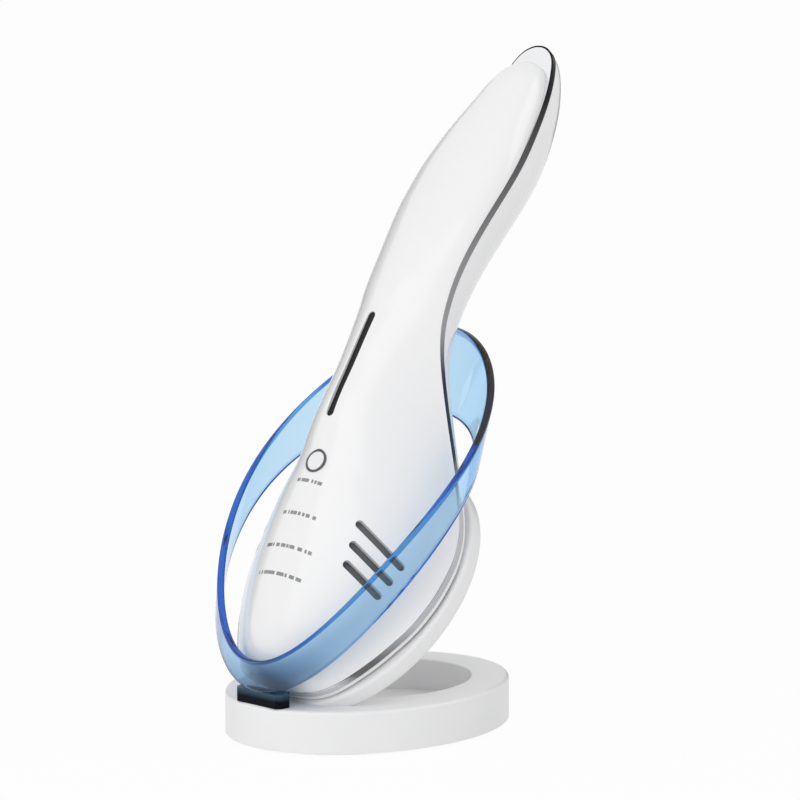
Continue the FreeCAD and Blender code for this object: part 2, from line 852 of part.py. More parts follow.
def make_vent_screens():
    """Dust screens that follow the inside of the shell behind the air slots."""
    inner = front_body(shell_wall + inner_play + screen_thickness, overrun)
    low = vents[-1].outer_along - screen_margin
    high = vents[0].inner_along + screen_margin
    x_low = vents[0].inner_x - 2 * screen_margin
    x_high = vents[0].outer_x - screen_margin
    screens = []
    for side in (-1, 1):
        ends = sorted((side * x_low, side * x_high))
        window = block(ends[0], ends[1], -(crest_height + trim_centre), 0, low, high)
        screens.append(single(front_fit.common(window).cut(inner)))
    return screens


def make_shell_screws():
    """Countersunk screws from the back of the head into the front shell's bosses."""
    screws = []
    for x, along in screw_places():
        head = face_rod(shell_screw_head_radius, face_gap, face_gap + shell_screw_head_height, x, along)
        shank = face_rod(shell_screw_radius, face_gap, shell_screw_length, x, along)
        screws.append(single(head.fuse(shank)))
    return screws


def make_contacts():
    """Charging contacts flush with the back of the head near its lower end."""
    places = [side * contact_x for side in (-1, 1)]
    return [face_rod(contact_radius, face_gap, rear_inside, x, contact_along) for x in places]


def cover_boss_places():
    """Places of the four screws of the stand's cover, between the well and the outer wall."""
    x = base_width / 2 * cover_boss_side_share
    y = base_length / 2 * cover_boss_end_share
    for side in (-1, 1):
        for end in (-1, 1):
            yield side * x, end * y


cover_top = pad_thickness + cover_thickness
roof_low = base_height - base_roof
tongue_back_y = plate_foot_y + tongue_thickness
tongue_low = base_height - tongue_depth
inlet_low = roof_low - inlet_roof_gap - inlet_height
charge_board_low = inlet_low - charge_board_thickness
inlet_mouth_y = base_length / 2
charge_board_back_y = base_length / 2 - base_wall - charge_board_back_gap


def edges_along(shape, axis):
    """Edges of a shape that run along an axis."""
    found = []
    for edge in shape.Edges:
        if abs(edge.tangentAt(edge.FirstParameter).dot(axis)) > parallel_share:
            found.append(edge)
    return found


def rounded_slot(width, height, y_low, y_high, z_low):
    """Lying bar with rounded long edges, for the charging inlet and its opening."""
    bar = block(-width / 2, width / 2, y_low, y_high, z_low, z_low + height)
    return bar.makeFillet(height * inlet_round_share, edges_along(bar, Y))


def make_base():
    """White oval base with its well, hollow inside, with bosses for the cover's screws."""
    half_x, half_y = base_width / 2, base_length / 2
    outer = oval_prism(half_x, half_y, pad_thickness, base_height)
    top_edge = max(outer.Edges, key=lambda edge: edge.CenterOfMass.z)
    outer = outer.makeFillet(base_edge_radius, [top_edge])
    hollow = oval_prism(half_x - base_wall, half_y - base_wall, pad_thickness, roof_low)
    tub_x, tub_y = well_width / 2 + well_wall, well_length / 2 + well_wall
    tub = oval_prism(tub_x, tub_y, cover_top, roof_low + overrun, well_shift)
    hollow = hollow.cut(tub)
    for x, y in cover_boss_places():
        hollow = hollow.cut(rod(cover_boss_radius, FreeCAD.Vector(x, y, cover_top), Z, base_height))
    base = outer.cut(hollow)
    well_low = cover_top + well_floor
    well = oval_prism(well_width / 2, well_length / 2, well_low, base_height + overrun, well_shift)
    base = base.cut(well)
    rims = [edge for edge in base.Edges if edge.BoundBox.ZMin > base_height - base_edge_radius / 2]
    base = base.makeFillet(well_edge_radius, [min(rims, key=lambda edge: edge.Length)])
    for x, y in cover_boss_places():
        hole = rod(cover_screw_shank_radius, FreeCAD.Vector(x, y, 0), Z, cover_top + cover_screw_bite)
        base = base.cut(hole)
    half = tongue_half_width + tongue_play
    front_y, back_y = plate_foot_y - tongue_play, tongue_back_y + tongue_play
    base = base.cut(block(-half, half, front_y, back_y, tongue_low, base_height + overrun))
    screw_start = FreeCAD.Vector(0, ring_screw_y, cover_top)
    base = base.cut(rod(cover_screw_shank_radius, screw_start, Z, base_height))
    opening_width, opening_height = inlet_width + 2 * inlet_play, inlet_height + 2 * inlet_play
    outside_y = inlet_mouth_y + overrun
    opening_low = inlet_low - inlet_play
    opening = rounded_slot(opening_width, opening_height, charge_board_back_y, outside_y, opening_low)
    return single(base.cut(opening))


def make_bottom_cover():
    """Cover that closes the base from below."""
    half_x = base_width / 2 - base_wall - cover_play
    half_y = base_length / 2 - base_wall - cover_play
    cover = oval_prism(half_x, half_y, pad_thickness, cover_top)
    for x, y in cover_boss_places():
        foot = FreeCAD.Vector(x, y, 0)
        cover = cover.cut(rod(cover_screw_shank_radius, foot, Z, base_height))
        cover = cover.cut(rod(cover_screw_head_radius, foot, Z, pad_thickness + cover_screw_head_height))
    return single(cover)


def make_pad():
    """Soft oval sheet under the cover that the stand rests on."""
    return oval_prism(base_width / 2 - pad_inset, base_length / 2 - pad_inset, 0, pad_thickness)


def make_cover_screws():
    """Screws of the bottom cover, hidden under the pad."""
    screws = []
    for x, y in cover_boss_places():
        foot = FreeCAD.Vector(x, y, pad_thickness)
        head = rod(cover_screw_head_radius, foot, Z, cover_screw_head_height)
        shank = rod(cover_screw_shank_radius, foot, Z, cover_thickness + cover_screw_bite)
        screws.append(single(head.fuse(shank)))
    return screws


def pin_start():
    """Places of the two charging pins, in the handset's own frame."""
    return [(side * contact_x, contact_along) for side in (-1, 1)]


def make_plate():
    """Leaning white plate that the handset's flat back rests on, with its tongue into the base."""
    wire = oval_wire(plate_half_width, plate_half_length, ORIGIN)
    wire.rotate(ORIGIN, X, 90)
    wire.translate(spot(0, -plate_thickness, plate_centre_up))
    plate = Part.Face(wire).extrude(spot(0, plate_thickness, 0))
    plate = plate.makeFillet(plate_edge_radius, [edge for edge in plate.Edges if edge.isClosed()])
    for x, along in pin_start():
        plate = plate.cut(face_rod(pin_radius + pin_play + barrel_wall, -barrel_depth, overrun, x, along))
    plate = seat(plate)
    far = base_length
    plate = plate.cut(block(-far, far, -far, far, -far, base_height))
    half = tongue_half_width
    tongue = block(-half, half, plate_foot_y, tongue_back_y, tongue_low, base_height)
    return single(plate.fuse(tongue))


def handset_back_at(height):
    """How far back from the plate's foot the handset reaches at a height above the base's top."""
    sine, cosine = math.sin(math.radians(lean)), math.cos(math.radians(lean))
    ups, backs = [], []
    for section in sections:
        out = section.parting - section.rear
        ups.append(section.along * cosine + out * sine)
        backs.append(section.along * sine - out * cosine)
    return smooth_value(ups, backs, height)


ring_upper_back_reach = handset_back_at(ring_upper_back_height) + ring_upper_back_room + ring_wall
ring_lower_back_reach = handset_back_at(ring_lower_back_height) + ring_lower_back_room + ring_wall
Rim = namedtuple("Rim", "front_y front_z back_y back_z middle_z climb egg_share")
ring_upper = Rim(
    plate_foot_y - ring_upper_front_reach,
    base_height + ring_upper_front_height,
    plate_foot_y + ring_upper_back_reach,
    base_height + ring_upper_back_height,
    base_height + ring_upper_middle_height,
    ring_upper_climb,
    ring_upper_egg_share,
)
ring_lower = Rim(
    plate_foot_y - ring_lower_front_reach,
    base_height + ring_lower_front_height,
    plate_foot_y + ring_lower_back_reach,
    base_height + ring_lower_back_height,
    base_height + ring_lower_middle_height,
    ring_lower_climb,
    ring_lower_egg_share,
)


def rim_curve(rim, shrink):
    """Closed oval rim of the ring: egg-shaped from above, climbing from its front to its back."""
    half_x = head_half_width + ring_play + ring_wall - shrink
    middle_y = (rim.front_y + rim.back_y) / 2
    half_y = (rim.back_y - rim.front_y) / 2 - shrink
    bow = (rim.front_z + rim.back_z) / 2 - rim.middle_z
    twist = (rim.back_z - rim.front_z) / 2 - rim.climb
    points = []
    for step in range(rim_points):
        turn = FULL_TURN * step / rim_points
        way = math.sin(turn)
        x = half_x * math.cos(turn) * (1 + rim.egg_share * way)
        height = rim.middle_z + rim.climb * way + bow * way ** 2 + twist * way ** 3
        points.append(FreeCAD.Vector(x, middle_y + half_y * way, height))
    return closed_edge(points, [float(step) for step in range(rim_points + 1)])


def make_ring():
    """Clear blue band that flares up and back round the handset, on a foot at the base's front."""
    corners = ((ring_lower, 0.0), (ring_upper, 0.0), (ring_upper, ring_wall), (ring_lower, ring_wall))
    band = band_between([rim_curve(*corner) for corner in corners])
    half = ring_foot_width / 2
    foot = block(-half, half, ring_foot_front_y, ring_foot_back_y, base_height, ring_foot_top)
    foot = foot.makeChamfer(ring_foot_chamfer, edges_along(foot, Z))
    screw_hole = FreeCAD.Vector(0, ring_screw_y, base_height - overrun)
    foot = foot.cut(rod(cover_screw_shank_radius, screw_hole, Z, ring_screw_bite + overrun))
    return single(band.fuse(foot))


def make_ring_screw():
    """Screw of the ring's foot, driven up through the base's roof."""
    middle = FreeCAD.Vector(0, ring_screw_y, roof_low)
    head = rod(cover_screw_head_radius, middle - Z * cover_screw_head_height, Z, cover_screw_head_height)
    return single(head.fuse(rod(cover_screw_shank_radius, middle, Z, base_roof + ring_screw_bite)))


def make_pin_barrels():
    """Sleeves in the plate that guide the charging pins."""
    sleeves = []
    for x, along in pin_start():
        sleeve = face_rod(pin_radius + pin_play + barrel_wall, -barrel_depth, 0, x, along)
        bore = face_rod(pin_radius + pin_play, -barrel_depth + barrel_wall, overrun, x, along)
        sleeves.append(sleeve.cut(bore))
    return sleeves


def make_pin(x, along):
    """Sprung charging pin with a domed tip."""
    pin = face_rod(pin_radius, -pin_bite, pin_reach, x, along)
    tip_edge = min(pin.Edges, key=lambda edge: edge.CenterOfMass.y)
    return pin.makeFillet(pin_radius / 2, [tip_edge])


def make_charge_board():
    """Small circuit board behind the charging inlet, on two feet that stand on the cover."""
    half = charge_board_width / 2
    front_y = charge_board_back_y - charge_board_depth
    board = block(-half, half, front_y, charge_board_back_y, charge_board_low, inlet_low)
    feet = []
    for side in (-1, 1):
        ends = sorted((side * half, side * (half - charge_foot_width)))
        feet.append(block(ends[0], ends[1], front_y, charge_board_back_y, cover_top, charge_board_low))
    return single(board.fuse(feet))


def make_inlet():
    """Metal charging inlet at the back of the base, with its contact tongue."""
    outer_y = inlet_mouth_y - base_wall / 2
    inner_y = outer_y - inlet_depth
    shell = rounded_slot(inlet_width, inlet_height, inner_y, outer_y, inlet_low)
    room_width, room_height = inlet_width - 2 * inlet_wall, inlet_height - 2 * inlet_wall
    back_y, floor_z = inner_y + inlet_wall, inlet_low + inlet_wall
    room = rounded_slot(room_width, room_height, back_y, inlet_mouth_y, floor_z)
    middle = inlet_low + inlet_height / 2
    half_x, half_z = inlet_tongue_width / 2, inlet_tongue_height / 2
    tip_y = inner_y + inlet_depth * inlet_tongue_share
    tongue = block(-half_x, half_x, inner_y, tip_y, middle - half_z, middle + half_z)
    return single(shell.cut(room).fuse(tongue))


save("dock_base", make_base())
save("bottom_cover", make_bottom_cover())
save("non_slip_pad", make_pad())
save("cover_screws", *make_cover_screws())
save("back_plate", make_plate())
save("holder_ring", make_ring())
save("ring_screw", make_ring_screw())
save("charge_board", make_charge_board())
save("charge_inlet", make_inlet())
save("pin_barrels", *[seat(sleeve) for sleeve in make_pin_barrels()])
for name, place in zip(("charge_pin_left", "charge_pin_right"), pin_start()):
    save(name, seat(make_pin(*place)))

save("front_shell", seat(make_front_shell()))
save("rear_shell", seat(make_rear_shell()))
save("chrome_trim", seat(make_chrome_trim()))
save("button_bezel", seat(make_bezel()))
save("indicator_window", seat(make_window()))
save("light_guide", seat(make_light_guide()))
save("indicator_lamps", *[seat(lamp) for lamp in indicator_leds()])
save("main_board", seat(make_main_board()))
save("button_switch", seat(make_switch()))
save("inner_frame", seat(make_inner_frame()))
save("vibration_motor", seat(make_motor()))
save("battery", seat(make_battery()))
save("battery_cradle", seat(make_battery_cradle()))
save("treatment_plate", seat(make_treatment_plate()))
save("light_lens", seat(make_light_lens()))
save("light_board", seat(make_light_board()))
save("heat_sink", seat(make_heat_sink()))
save("vent_screens", *[seat(screen) for screen in make_vent_screens()])
save("shell_screws", *[seat(screw) for screw in make_shell_screws()])
save("charge_contacts", *[seat(contact) for contact in make_contacts()])

save("mode_button", seat(make_button()))
save("motor_shaft", seat(make_motor_shaft()))
save("eccentric_weight", seat(make_eccentric_weight()))
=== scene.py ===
"""Looks of a face massager on its leaning dock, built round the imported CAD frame."""

import logging
import math
from dataclasses import dataclass, field
from enum import Enum
from typing import Iterable, Sequence

import bpy
import numpy as np
from mathutils import Matrix, Vector


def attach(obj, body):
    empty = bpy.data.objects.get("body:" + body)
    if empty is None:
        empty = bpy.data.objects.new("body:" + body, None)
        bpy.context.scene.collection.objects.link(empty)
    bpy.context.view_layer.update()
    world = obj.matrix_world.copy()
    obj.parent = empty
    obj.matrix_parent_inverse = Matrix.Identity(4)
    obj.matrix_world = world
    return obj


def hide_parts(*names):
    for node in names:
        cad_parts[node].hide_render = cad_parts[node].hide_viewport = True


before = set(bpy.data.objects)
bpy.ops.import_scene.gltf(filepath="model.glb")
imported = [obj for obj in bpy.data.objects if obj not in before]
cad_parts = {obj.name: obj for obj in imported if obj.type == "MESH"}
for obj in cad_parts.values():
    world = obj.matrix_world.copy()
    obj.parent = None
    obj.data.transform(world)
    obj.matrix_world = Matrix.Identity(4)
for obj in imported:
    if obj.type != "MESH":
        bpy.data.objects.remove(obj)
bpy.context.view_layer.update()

LOG = logging.getLogger("face_massager")
MM = 0.001
WELD = MM / 1000
SHARP = 40.0
LEAN = math.radians(43.4)
FOOT_Y = -30.8
FOOT_Z = 12.0
Grid = np.ndarray
Colour = tuple[float, float, float]


class Body(Enum):
    """Bodies of the CAD frame that the looks ride on."""

    STAND = "stand"
    HANDSET = "handset"


class Slot(Enum):
    """Material slots that the new pieces take."""

    WHITE = "white_plastic"
    CHROME = "chrome"
    BLUE = "clear_blue"


class Socket:
    """Output of a shader node that takes part in sums like a number."""

    def __init__(self, graph: "Graph", plug: bpy.types.NodeSocket) -> None:
        """Wrap one output of a node in the graph."""
        self.graph = graph
        self.plug = plug

    def _with(self, kind: str, other: "Socket | float", turned: bool = False) -> "Socket":
        """Combine with another value, which stands first if turned is true."""
        pair = (other, self) if turned else (self, other)
        return self.graph.math(kind, *pair)

    def __add__(self, other: "Socket | float") -> "Socket":
        """Sum with a value."""
        return self._with("ADD", other)

    def __radd__(self, other: float) -> "Socket":
        """Sum with a number on the left."""
        return self._with("ADD", other, True)

    def __sub__(self, other: "Socket | float") -> "Socket":
        """Difference to a value."""
        return self._with("SUBTRACT", other)

    def __rsub__(self, other: float) -> "Socket":
        """Difference from a number on the left."""
        return self._with("SUBTRACT", other, True)

    def __mul__(self, other: "Socket | float") -> "Socket":
        """Product with a value."""
        return self._with("MULTIPLY", other)

    def __rmul__(self, other: float) -> "Socket":
        """Product with a number on the left."""
        return self._with("MULTIPLY", other, True)

    def __truediv__(self, other: "Socket | float") -> "Socket":
        """Quotient by a value."""
        return self._with("DIVIDE", other)

    def __rtruediv__(self, other: float) -> "Socket":
        """Quotient of a number on the left."""
        return self._with("DIVIDE", other, True)

    def clamp(self) -> "Socket":
        """Limit to between 0 and 1."""
        return self.graph.math("ADD", self, limited=True)


class Graph:
    """Node tree of a material or a world, with short ways to add nodes."""

    def __init__(self, tree: bpy.types.NodeTree) -> None:
        """Keep the tree and empty it."""
        self.tree = tree
        tree.nodes.clear()

    def node(self, kind: str, inputs: dict | None = None, **settings: object) -> bpy.types.Node:
        """Add a node and set or link its inputs.

        Args:
            kind: Blender's type name of the node.
            inputs: Values or sockets by input name or number.
            settings: Properties of the node.

        Returns:
            The new node.
        """
        made = self.tree.nodes.new(kind)
        for name, value in settings.items():
            setattr(made, name, value)
        for name, value in (inputs or {}).items():
            if isinstance(value, Socket):
                self.tree.links.new(value.plug, made.inputs[name])
            else:
                made.inputs[name].default_value = value
        return made

    def out(self, kind: str, output: str | int, inputs: dict | None = None, **settings: object) -> Socket:
        """Add a node and take the output of that name or number."""
        return Socket(self, self.node(kind, inputs, **settings).outputs[output])

    def math(
        self, kind: str, first: Socket | float, second: Socket | float = 0.0, limited: bool = False
    ) -> Socket:
        """Add a math node, whose result stays between 0 and 1 if it is limited."""
        return self.out("ShaderNodeMath", 0, {0: first, 1: second}, operation=kind, use_clamp=limited)

    def place(self) -> Socket:
        """Point on the object in its own coordinates."""
        return self.out("ShaderNodeTexCoord", "Object")

    def axis(self, name: str) -> Socket:
        """One of the object's own coordinates, by its letter."""
        return self.out("ShaderNodeSeparateXYZ", name, {0: self.place()})

    def noise(self, scale: float) -> Socket:
        """Soft cloud between 0 and 1, with so many patches per metre."""
        return self.out("ShaderNodeTexNoise", 0, {"Vector": self.place(), "Scale": scale})

    def between(self, share: Socket, low: Socket | Colour, high: Socket | Colour) -> Socket:
        """Mix two colours: share 0 gives the first, share 1 the second."""
        first, last = (tone if isinstance(tone, Socket) else (*tone, 1.0) for tone in (low, high))
        return self.out("ShaderNodeMix", 2, {0: share, 6: first, 7: last}, data_type="RGBA")

    def ramp(self, value: Socket, low: float, high: float) -> Socket:
        """Smooth step of a value, 0 at the low place and 1 at the high one."""
        values = {"Value": value, "From Min": low, "From Max": high}
        return self.out("ShaderNodeMapRange", 0, values, interpolation_type="SMOOTHSTEP")


@dataclass(frozen=True)
class Finish:
    """Solid finish whose colour and gloss wander a little over the piece."""

    name: str
    low: Colour
    high: Colour
    roughness: float = 0.3
    wander: float = 0.06
    metallic: float = 0.0
    coat: float = 0.0
    scale: float = 60.0
    specular: float = 0.5

    def colour(self, graph: Graph, cloud: Socket) -> Socket:
        """Colour that wanders between the two shades with the cloud."""
        return graph.between(cloud, self.low, self.high)

    def material(self) -> bpy.types.Material:
        """Make the material.

        Returns:
            The new material.
        """
        made = bpy.data.materials.new(self.name)
        made.use_nodes = True
        graph = Graph(made.node_tree)
        cloud = graph.noise(self.scale)
        inputs = {
            "Base Color": self.colour(graph, cloud),
            "Roughness": (cloud - 0.5) * self.wander + self.roughness,
            "Metallic": self.metallic,
            "Coat Weight": self.coat,
            "Specular IOR Level": self.specular,
        }
        surface = graph.out("ShaderNodeBsdfPrincipled", 0, inputs)
        graph.node("ShaderNodeOutputMaterial", {"Surface": surface})
        return made


@dataclass(frozen=True)
class MarkedFinish(Finish):
    """Finish with rows of short grey dashes across the front ridge."""

    ink: Colour = (0.25, 0.25, 0.26)
    # Each row: its place along the ridge and half its width, in millimetres.
    rows: tuple[tuple[float, float], ...] = ((47.8, 4.8), (38.9, 6.6), (30.2, 8.6), (22.9, 8.0))
    half_height: float = 0.55
    soft: float = 0.15
    soft_end: float = 0.1
    pace: float = 0.9
    gap_low: float = 0.42
    gap_high: float = 0.46

    def colour(self, graph: Graph, cloud: Socket) -> Socket:
        """Colour with the dashes, which are strips across the ridge, broken up by a pattern of gaps.

        Args:
            graph: Graph of the material.
            cloud: Pattern between 0 and 1.

        Returns:
            The colour's socket.
        """
        plain = super().colour(graph, cloud)
        up = (0.0, math.sin(LEAN), math.cos(LEAN))
        run = graph.out("ShaderNodeVectorMath", "Value", {0: graph.place(), 1: up}, operation="DOT_PRODUCT")
        along = run / MM - (FOOT_Y * up[1] + FOOT_Z * up[2])
        side = graph.axis("X") / MM
        total = 0.0
        for row, half in self.rows:
            off = graph.math("ABSOLUTE", along - row)
            near = graph.ramp(off, self.half_height, self.half_height - self.soft)
            inside = graph.ramp(graph.math("ABSOLUTE", side), half, half - self.soft_end)
            spots = {"W": side * self.pace + row, "Scale": 1.0}
            gaps = graph.out("ShaderNodeTexNoise", 0, spots, noise_dimensions="1D")
            total = near * inside * graph.ramp(gaps, self.gap_low, self.gap_high) + total
        return graph.between(total, plain, self.ink)


@dataclass(frozen=True)
class GradedFinish(Finish):
    """Finish that changes with height on the parts of a mesh that carry a mark; here it paints shadow, shade
    and reflections.
    """

    mark: str = ""
    # Each stop: a height in metres and the shade there.
    stops: tuple[tuple[float, Colour], ...] = ()

    def colour(self, graph: Graph, cloud: Socket) -> Socket:
        """Colour that runs from stop to stop with the height where the mark is set.

        Args:
            graph: Graph of the material.
            cloud: Pattern between 0 and 1.

        Returns:
            The colour's socket.
        """
        plain = super().colour(graph, cloud)
        low, high = self.stops[0][0], self.stops[-1][0]
        ramp = graph.node("ShaderNodeValToRGB", {0: (graph.axis("Z") - low) / (high - low)})
        for index, (height, shade) in enumerate(self.stops):
            place = (height - low) / (high - low)
            inner = 0 < index < len(self.stops) - 1
            marks = ramp.color_ramp.elements
            stop = marks.new(place) if inner else marks[-1 if index else 0]
            stop.color = (*shade, 1.0)
        graded = Socket(graph, ramp.outputs[0])
        marked = graph.out("ShaderNodeAttribute", "Fac", attribute_name=self.mark)
        return graph.between(marked, plain, graded)


@dataclass(frozen=True)
class ClearFinish:
    """Clear tinted plastic with painted shade: deeper in colour at its rims, and darker and greyer towards
    its foot.
    """

    name: str
    tint: Colour
    # Painted shade: the rim colour deepens the marked rims, and the foot colour greys the lower part.
    rim: Colour
    foot: Colour
    keep: Colour
    density: float
    roughness: float = 0.02
    scale: float = 30.0
    bend: float = 1.49
    # Heights in metres where the painted greying towards the foot is full and where it ends.
    foot_low: float = 0.013
    foot_high: float = 0.031

    def material(self) -> bpy.types.Material:
        """Make the material.

        Returns:
            The new material.
        """
        made = bpy.data.materials.new(self.name)
        made.use_nodes = True
        graph = Graph(made.node_tree)
        cloud = graph.noise(self.scale)
        # Painted shade: the rim mark paints the rims deeper blue, and the colour turns greyer towards the
        # foot.
        rim = graph.out("ShaderNodeAttribute", "Fac", attribute_name="rim")
        plain = graph.between(rim, self.tint, self.rim)
        down = graph.ramp(graph.axis("Z"), self.foot_high, self.foot_low)
        surface = graph.out("ShaderNodeBsdfPrincipled", 0, {
            "Base Color": graph.between(down, plain, self.foot),
            "Roughness": cloud * self.roughness,
            "IOR": self.bend,
            "Transmission Weight": 1.0,
        })
        depth = {"Color": (*self.keep, 1.0), "Density": self.density}
        inside = graph.out("ShaderNodeVolumeAbsorption", 0, depth)
        graph.node("ShaderNodeOutputMaterial", {"Surface": surface, "Volume": inside})
        return made


def unit(vector: Grid) -> Grid:
    """Vector of length 1 with the same direction."""
    return vector / np.linalg.norm(vector)


def full_turn(count: int) -> Grid:
    """Evenly spaced angles once round, without the doubled last one."""
    return np.linspace(0.0, 2 * np.pi, count, endpoint=False)


def half_turn(count: int) -> Grid:
    """Evenly spaced angles of half a round, with both ends."""
    return np.linspace(0.0, np.pi, count)


def quarter_turn(count: int) -> Grid:
    """Evenly spaced angles of a quarter round, with both ends."""
    return np.linspace(0.0, np.pi / 2, count)


def merged(points: Iterable[Grid], faces: Iterable[Grid]) -> tuple[Grid, Grid]:
    """Join several meshes of quads.

    Args:
        points: Point tables.
        faces: Quad tables, each counted from its own first point.

    Returns:
        One point table and one quad table.
    """
    tables = list(points)
    starts = np.cumsum([0] + [len(table) for table in tables[:-1]])
    return np.concatenate(tables), np.concatenate([quads + start for quads, start in zip(faces, starts)])


def grid_quads(rows: int, columns: int, wrap_rows: bool = False, wrap_columns: bool = False) -> Grid:
    """Quads of a grid of points stored row by row.

    Args:
        rows: Number of rows.
        columns: Number of columns.
        wrap_rows: True if the last row meets the first.
        wrap_columns: True if the last column meets the first.

    Returns:
        Table of four point numbers per quad.
    """
    row = np.arange(rows if wrap_rows else rows - 1)[:, None]
    column = np.arange(columns if wrap_columns else columns - 1)[None, :]
    next_row, next_column = (row + 1) % rows, (column + 1) % columns
    near, far = row * columns, next_row * columns
    corners = (near + column, near + next_column, far + next_column, far + column)
    return np.stack(np.broadcast_arrays(*corners), -1).reshape(-1, 4)


def new_object(
    name: str, points: Grid, quads: Grid, sharp: float = SHARP, marks: dict[str, Grid] | None = None
) -> bpy.types.Object:
    """Make a closed, outward, smooth mesh object from points in millimetres.

    Args:
        name: Name of the object.
        points: Point table in millimetres.
        quads: Quad table.
        sharp: Edges that turn by more than this many degrees stay sharp.
        marks: Named values, one per point, that the finish reads.

    Returns:
        The new object, linked to the scene.
    """
    mesh = bpy.data.meshes.new(name)
    mesh.from_pydata((np.asarray(points) * MM).tolist(), [], np.asarray(quads).tolist())
    for mark, values in (marks or {}).items():
        layer = mesh.attributes.new(mark, "FLOAT", "POINT")
        layer.data.foreach_set("value", np.asarray(values, dtype=np.float32))
    made = bpy.data.objects.new(name, mesh)
    bpy.context.scene.collection.objects.link(made)
    clean(made, sharp)
    return made


def clean(item: bpy.types.Object, sharp: float) -> None:
    """Weld doubled points, drop flat slivers, turn faces outwards and smooth the shading.

    Args:
        item: Object to clean.
        sharp: Edges that turn by more than this many degrees stay sharp.
    """
    for other in bpy.context.selected_objects:
        other.select_set(False)
    bpy.context.view_layer.objects.active = item
    item.select_set(True)
    bpy.ops.object.mode_set(mode="EDIT")
    bpy.ops.mesh.select_all(action="SELECT")
    bpy.ops.mesh.remove_doubles(threshold=WELD)
    bpy.ops.mesh.dissolve_degenerate(threshold=WELD)
    bpy.ops.mesh.select_all(action="SELECT")
    bpy.ops.mesh.normals_make_consistent(inside=False)
    bpy.ops.object.mode_set(mode="OBJECT")
    item.data.shade_smooth()
    item.data.set_sharp_from_angle(angle=math.radians(sharp))
    item.select_set(False)


def carve(item: bpy.types.Object, cutters: Sequence[bpy.types.Object]) -> None:
    """Cut other objects out of one and remove them.

    Args:
        item: Object that is cut.
        cutters: Objects to take away.
    """
    group = bpy.data.collections.new("cutters")
    for cutter in cutters:
        group.objects.link(cutter)
    step = item.modifiers.new("carve", "BOOLEAN")
    step.operation, step.solver = "DIFFERENCE", "MANIFOLD"
    step.operand_type, step.collection = "COLLECTION", group
    graph = bpy.context.evaluated_depsgraph_get()
    cut = bpy.data.meshes.new_from_object(item.evaluated_get(graph))
    item.modifiers.clear()
    item.data = cut
    for cutter in cutters:
        bpy.data.objects.remove(cutter)
    bpy.data.collections.remove(group)
    item.data.shade_smooth()
    item.data.set_sharp_from_angle(angle=math.radians(SHARP))


def bar(name: str, outline: Grid, direction: Grid, depth: float, height: float) -> bpy.types.Object:
    """Straight bar over a closed outline: four rings, of which the first and last shut to a point.

    Args:
        name: Name of the object.
        outline: Points round the outline, in millimetres.
        direction: Unit vector along the bar.
        depth: How far the bar reaches against the direction.
        height: How far it reaches along the direction.

    Returns:
        The new object.
    """
    middle = outline.mean(0)
    count = len(outline)
    low, high = outline - direction * depth, outline + direction * height
    rings = np.stack([np.broadcast_to(middle - direction * depth, low.shape), low, high,
                      np.broadcast_to(middle + direction * height, high.shape)])
    return new_object(name, rings.reshape(-1, 3), grid_quads(4, count, wrap_columns=True))


def circle(middle: Grid, radius: float, normal: Grid, count: int = 64) -> Grid:
    """Points round a circle: the cosine along one unit vector and the sine along the other.

    Args:
        middle: Centre.
        radius: Radius.
        normal: Unit vector square to the circle, not along x.
        count: Number of points.

    Returns:
        Point table.
    """
    side = unit(np.cross(normal, [1.0, 0.0, 0.0]))
    up = np.cross(normal, side)
    turn = full_turn(count)[:, None]
    return middle + radius * (np.cos(turn) * side + np.sin(turn) * up)


def stadium(first: Grid, last: Grid, half: float, normal: Grid, count: int = 24) -> Grid:
    """Points round a long hole: half a circle about each end.

    Args:
        first: Middle of the first end's arc.
        last: Middle of the last end's arc.
        half: Half of the hole's width.
        normal: Unit vector square to the hole.
        count: Points on each arc.

    Returns:
        Point table.
    """
    run = unit(last - first)
    across = unit(np.cross(normal, run))
    turn = half_turn(count)[:, None]
    start = first + half * (np.cos(turn) * across - np.sin(turn) * run)
    end = last + half * (-np.cos(turn) * across + np.sin(turn) * run)
    return np.concatenate([start, end])


def smooth_curve(places: Grid, values: Grid, wanted: Grid, blur: float) -> Grid:
    """Cubic through given places without overshoot, then gently blurred.

    A slope is the harmonic mean of the rises on both sides, or zero where the curve turns. The blur
    is a bell-shaped average that reaches three widths to each side.

    Args:
        places: Where the values are given, rising.
        values: The values.
        wanted: Evenly spaced places to find.
        blur: Width of the blur, in the same measure.

    Returns:
        Values at the wanted places.
    """
    step = np.diff(places)
    rise = np.diff(values) / step
    product = rise[:-1] * rise[1:]
    total = np.where(product > 0, rise[:-1] + rise[1:], 1.0)
    slope = np.concatenate([rise[:1], np.where(product > 0, 2 * product / total, 0.0), rise[-1:]])
    index = np.clip(np.searchsorted(places, wanted, side="right") - 1, 0, len(step) - 1)
    part = (wanted - places[index]) / step[index]
    early, late = (1 - part) ** 2, part**2
    found = (1 + 2 * part) * early * values[index] + part * early * step[index] * slope[index]
    found += late * (3 - 2 * part) * values[index + 1]
    found += late * (part - 1) * step[index] * slope[index + 1]
    pitch = wanted[1] - wanted[0]
    reach = max(1, int(3 * blur / pitch))
    kernel = np.exp(-0.5 * (np.arange(-reach, reach + 1) * pitch / blur) ** 2)
    padded = np.pad(found, reach, mode="reflect", reflect_type="odd")
    return np.convolve(padded, kernel / kernel.sum(), mode="valid")


